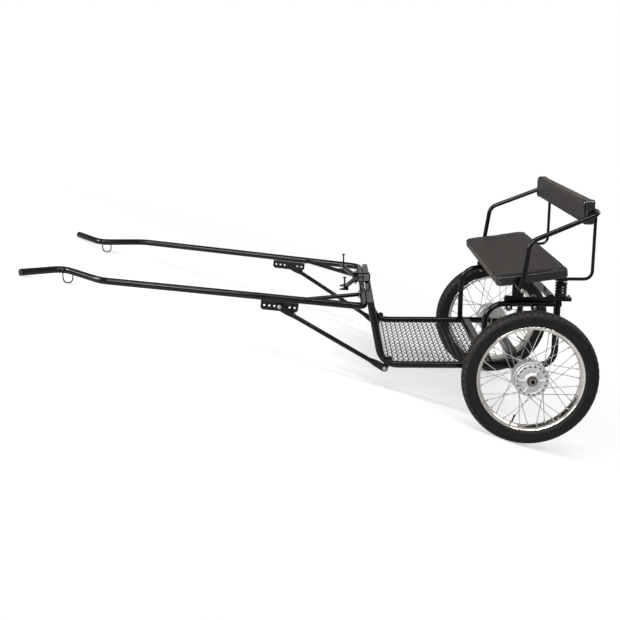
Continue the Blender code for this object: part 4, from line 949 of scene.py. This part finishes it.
def rounded_loop(half_a, half_b, corner, steps=8, spacing=0.012):
    """Points round a rectangle with rounded corners, anticlockwise, evenly along its straight sides."""
    points = []
    for sign_a, sign_b, base in ((1, 1, 0), (-1, 1, pi / 2), (-1, -1, pi), (1, -1, 3 * pi / 2)):
        centre = (sign_a * (half_a - corner), sign_b * (half_b - corner))
        for step in range(steps + 1):
            angle = base + pi / 2 * step / steps
            points.append((centre[0] + corner * cos(angle), centre[1] + corner * sin(angle)))
    filled = []
    for here, after in zip(points, points[1:] + points[:1]):
        length = hypot(after[0] - here[0], after[1] - here[1])
        count = max(1, round(length / spacing))
        across = (after[0] - here[0], after[1] - here[1])
        filled += [
            (here[0] + across[0] * i / count, here[1] + across[1] * i / count) for i in range(count)
        ]
    return filled


def move_out(block, rise):
    """Move each point of a block along its normal by what rise gives for its place and normal."""
    kept = [(vertex.co.copy(), vertex.normal.copy()) for vertex in block.data.vertices]
    for vertex, (place, normal) in zip(block.data.vertices, kept):
        vertex.co = place + normal * rise(place, normal)


def press_seams(block, seams, depth, width):
    """Draw the cloth in along each seam, where the thread pulls it down."""
    lines = [point for seam in seams for point in seam]
    tree = KDTree(len(lines))
    for index, point in enumerate(lines):
        tree.insert(point, index)
    tree.balance()
    move_out(block, lambda place, normal: -depth * exp(-(tree.find(place)[2] / width) ** 2))


def on_skin(block, points, lift=0.0):
    """The points drawn onto a block's surface, evenly spaced at 3 mm."""
    places = [vertex.co for vertex in block.data.vertices]
    tree = BVHTree.FromPolygons(places, [tuple(face.vertices) for face in block.data.polygons])
    fine = []
    for here, after in zip(points, points[1:]):
        here, after = Vector(here), Vector(after)
        count = max(1, round((after - here).length / 0.003))
        fine += [here.lerp(after, i / count) for i in range(count)]
    fine.append(Vector(points[-1]))
    found = [tree.find_nearest(point) for point in fine]
    return [place + normal * lift for place, normal, index, away in found]


def welt(name, path, radius, place, closed):
    """A thin folded welt along every other point of a seam."""
    piece = round_wire(name, path[::2], radius, 1, closed, place)
    paint(tidy(piece, 60, 0.000001), welt_vinyl_painted_shade)
    return rides(piece, "frame", "vinyl")


# A face whose normal leans this far to a side belongs to that side's vinyl
SIDE_LEAN = 0.62


def dress_cushion(block, place, up, middle, half, half_long):
    """Wrinkle a cushion, choose each face's vinyl by its side of the seam, and set it in place."""
    def wrinkle(place, normal):
        """Folds along the tight ends, and low waves across the top."""
        if abs(normal.y) > 0.5:
            fold = Vector((place.x * 14, place.y * 30, place.z * 14))
            fold[up] = place[up] * 95
            return 0.0016 * noise.noise(fold)
        if normal[up] > 0.5:
            return 0.0011 * noise.noise(Vector((place.x * 4, place.y * 26, place.z * 4)))
        return 0

    for material in (top_vinyl, end_vinyl_painted_shade_and_reflection, border_vinyl_painted_light):
        block.data.materials.append(material)
    move_out(block, wrinkle)
    for face in block.data.polygons:
        past_end = abs(face.center.y) - half_long
        past_side = abs(face.center[2 - up] - middle) - half
        # Ends take the vinyl painted darker and bluer as painted shade and reflection; borders take the
        # one painted lighter as painted light.
        if abs(face.normal.y) > SIDE_LEAN or past_end > max(past_side, 0):
            face.material_index = 1
        elif abs(face.normal[2 - up]) > SIDE_LEAN or past_side > 0:
            face.material_index = 2
        else:
            face.material_index = 0
        face.use_smooth = True
    block.data.transform(place)
    return block


# Laid out with X back from the front edge and Z up from the underside: the block, its lift over the
# board, and the seam as a loop of these half widths at this height
SEAT_SIZE = (0.326, 1.086, 0.042)
SEAT_LIFT = 0.0035
SEAT_MIDDLE = -0.1665
SEAT_SEAM_HALF = (0.1545, 0.5335)
SEAT_SEAM_Z = 0.0490
SEAT_SEAM_CORNER = 0.034
SEAT_CORNER = 0.032
SEAT_EDGE = 0.007
SEAT_VOXEL = 0.0065
SWELL = 0.0055
SEAT_PULL = (0.0034, 0.0056)
SEAT_WELT_R = 0.0026
WELT_LIFT = 0.0006
JOINT_Y = 0.430
JOINT_R = 0.0020
JOINT_LIFT = 0.0004


def front_joint(y):
    """Points down the front border, where two lengths of it are sewn together."""
    return [(0.005, y, 0.046), (0.006, y, 0.030), (0.005, y, 0.012)]


bench = foam_block("bench_cushion", SEAT_SIZE, SEAT_CORNER, SEAT_EDGE)
bench = stuff(bench, SEAT_VOXEL, SWELL)
for vertex in bench.data.vertices:
    vertex.co.z = max(vertex.co.z, -SEAT_SIZE[2] / 2)
bench.data.transform(Matrix.Translation((SEAT_MIDDLE, 0, SEAT_LIFT + SEAT_SIZE[2] / 2)))
top_loop = [
    Vector((x + SEAT_MIDDLE, y, SEAT_SEAM_Z)) for x, y in rounded_loop(*SEAT_SEAM_HALF, SEAT_SEAM_CORNER)
]
seat_seam = on_skin(bench, top_loop + top_loop[:1])
joints = [on_skin(bench, front_joint(y)) for y in (-JOINT_Y, JOINT_Y)]
press_seams(bench, [seat_seam, *joints], *SEAT_PULL)
seat_welt = on_skin(bench, top_loop + top_loop[:1], WELT_LIFT)[:-1]
welt("bench_top_welt", seat_welt, SEAT_WELT_R, seat_place, True)
for label, y in (("right", -JOINT_Y), ("left", JOINT_Y)):
    line = on_skin(bench, front_joint(y), JOINT_LIFT)
    welt("bench_border_joint_" + label, line, JOINT_R, seat_place, False)
dress_cushion(bench, seat_place, 2, SEAT_MIDDLE, *SEAT_SEAM_HALF)
rides(bench, "frame", "vinyl", "seat_cushion")

# Backrest cushion: the same foam and vinyl as the seat's, boxed round the back board, with one welt
# round its front seam. It is laid out with X forward from its rear face and Z up from its lower edge.
BACK_SIZE = (0.046, 1.062, 0.113)
BACK_MIDDLE = (0.0265, 0.055)
BACK_REAR = 0.0032
BACK_SEAM_HALF = (0.0535, 0.5260)
BACK_SEAM_X = 0.0500
BACK_SEAM_CORNER = 0.020
BACK_CORNER = 0.018
BACK_EDGE = 0.008
BACK_VOXEL = 0.006
BACK_PULL = (0.0032, 0.0054)
BACK_WELT_R = 0.0024
backrest = foam_block("backrest_pad", BACK_SIZE, BACK_CORNER, BACK_EDGE)
backrest = stuff(backrest, BACK_VOXEL, SWELL)
backrest.data.transform(Matrix.Translation((BACK_MIDDLE[0], 0, BACK_MIDDLE[1])))
for vertex in backrest.data.vertices:
    vertex.co.x = max(vertex.co.x, BACK_REAR)
front_loop = [
    Vector((BACK_SEAM_X, y, z + BACK_MIDDLE[1]))
    for z, y in rounded_loop(*BACK_SEAM_HALF, BACK_SEAM_CORNER)
]
back_seam = on_skin(backrest, front_loop + front_loop[:1])
press_seams(backrest, [back_seam], *BACK_PULL)
back_welt = on_skin(backrest, front_loop + front_loop[:1], WELT_LIFT)[:-1]
welt("backrest_front_welt", back_welt, BACK_WELT_R, back_place, True)
dress_cushion(backrest, back_place, 0, BACK_MIDDLE[1], *BACK_SEAM_HALF)
rides(backrest, "frame", "vinyl", "backrest_cushion")

# Studio: a pale paper floor, three soft panels, a strip overhead and an even sky in a white surround.
# The camera sees white, and the floor keeps a faint shadow of the cart and fades out round it.
FLOOR_MOTTLE = 333
floor_paper = finish("pale_studio_floor", Roughness=0.9, Specular_IOR_Level=0.1)
place = add(floor_paper, "TexCoord").outputs["Object"]
mottle = add(floor_paper, "TexNoise", {"Vector": place, "Scale": 1000 / FLOOR_MOTTLE}).outputs["Fac"]
feed(floor_paper, "Base Color", add(
    floor_paper, "Mix", {0: mottle, 6: linear("#f6f6f6"), 7: linear("#fafafa")}, data_type="RGBA"
).outputs[2])
away = add(floor_paper, "VectorMath", {0: place}, operation="LENGTH").outputs["Value"]
near = add(floor_paper, "MapRange", {"Value": away, 1: 0.8, 2: 2.6, 3: 0.6, 4: 0.0}).outputs[0]
feed(floor_paper, "Alpha", near)
bpy.ops.object.select_all(action="DESELECT")
bpy.ops.mesh.primitive_plane_add(size=6)
studio_floor = bpy.context.object
studio_floor.name = "studio_floor"
paint(studio_floor, floor_paper)


def panel(name, at, aim, size, power):
    """A soft light of (length, width) at a place of the parked cart, turned to a point."""
    light = bpy.data.lights.new(name, "AREA")
    light.shape = "RECTANGLE"
    light.size, light.size_y = size
    light.energy = power
    holder = bpy.data.objects.new(name, light)
    bpy.context.scene.collection.objects.link(holder)
    way = Vector(aim) - Vector(at)
    holder.matrix_world = Matrix.Translation(at) @ way.to_track_quat("-Z", "Y").to_matrix().to_4x4()


panel("key_panel", (1.6, 3.9, 2.5), (-0.3, 0, 0.4), (1.6, 1.6), 85)
panel("front_panel", (3.6, 1.3, 1.3), (-0.8, 0, 0.8), (1.5, 1.5), 150)
panel("rear_panel", (-3.0, -1.6, 3.2), (-0.6, 0, 0.5), (2.2, 2.2), 50)
panel("overhead_strip", (0.2, 1.9, 3.3), (0.0, 0, 0.5), (4.6, 0.16), 90)
sky = bpy.data.worlds.new("white_surround")
sky.use_nodes = True
bpy.context.scene.world = sky
lit = sky.node_tree.nodes["Background"]
lit.inputs["Color"].default_value = (1, 1, 1, 1)
lit.inputs["Strength"].default_value = 0.42
seen = add(sky, "Background", {"Color": (1, 1, 1, 1), "Strength": 1.0})
rays = add(sky, "LightPath")
straight = add(sky, "Math", {
    0: rays.outputs["Is Camera Ray"], 1: rays.outputs["Is Transmission Ray"]
}, operation="MAXIMUM").outputs[0]
surround = add(sky, "MixShader", {0: straight, 1: lit.outputs[0], 2: seen.outputs[0]})
sky.node_tree.links.new(surround.outputs[0], sky.node_tree.nodes["World Output"].inputs["Surface"])
bpy.context.scene.view_settings.view_transform = "Standard"
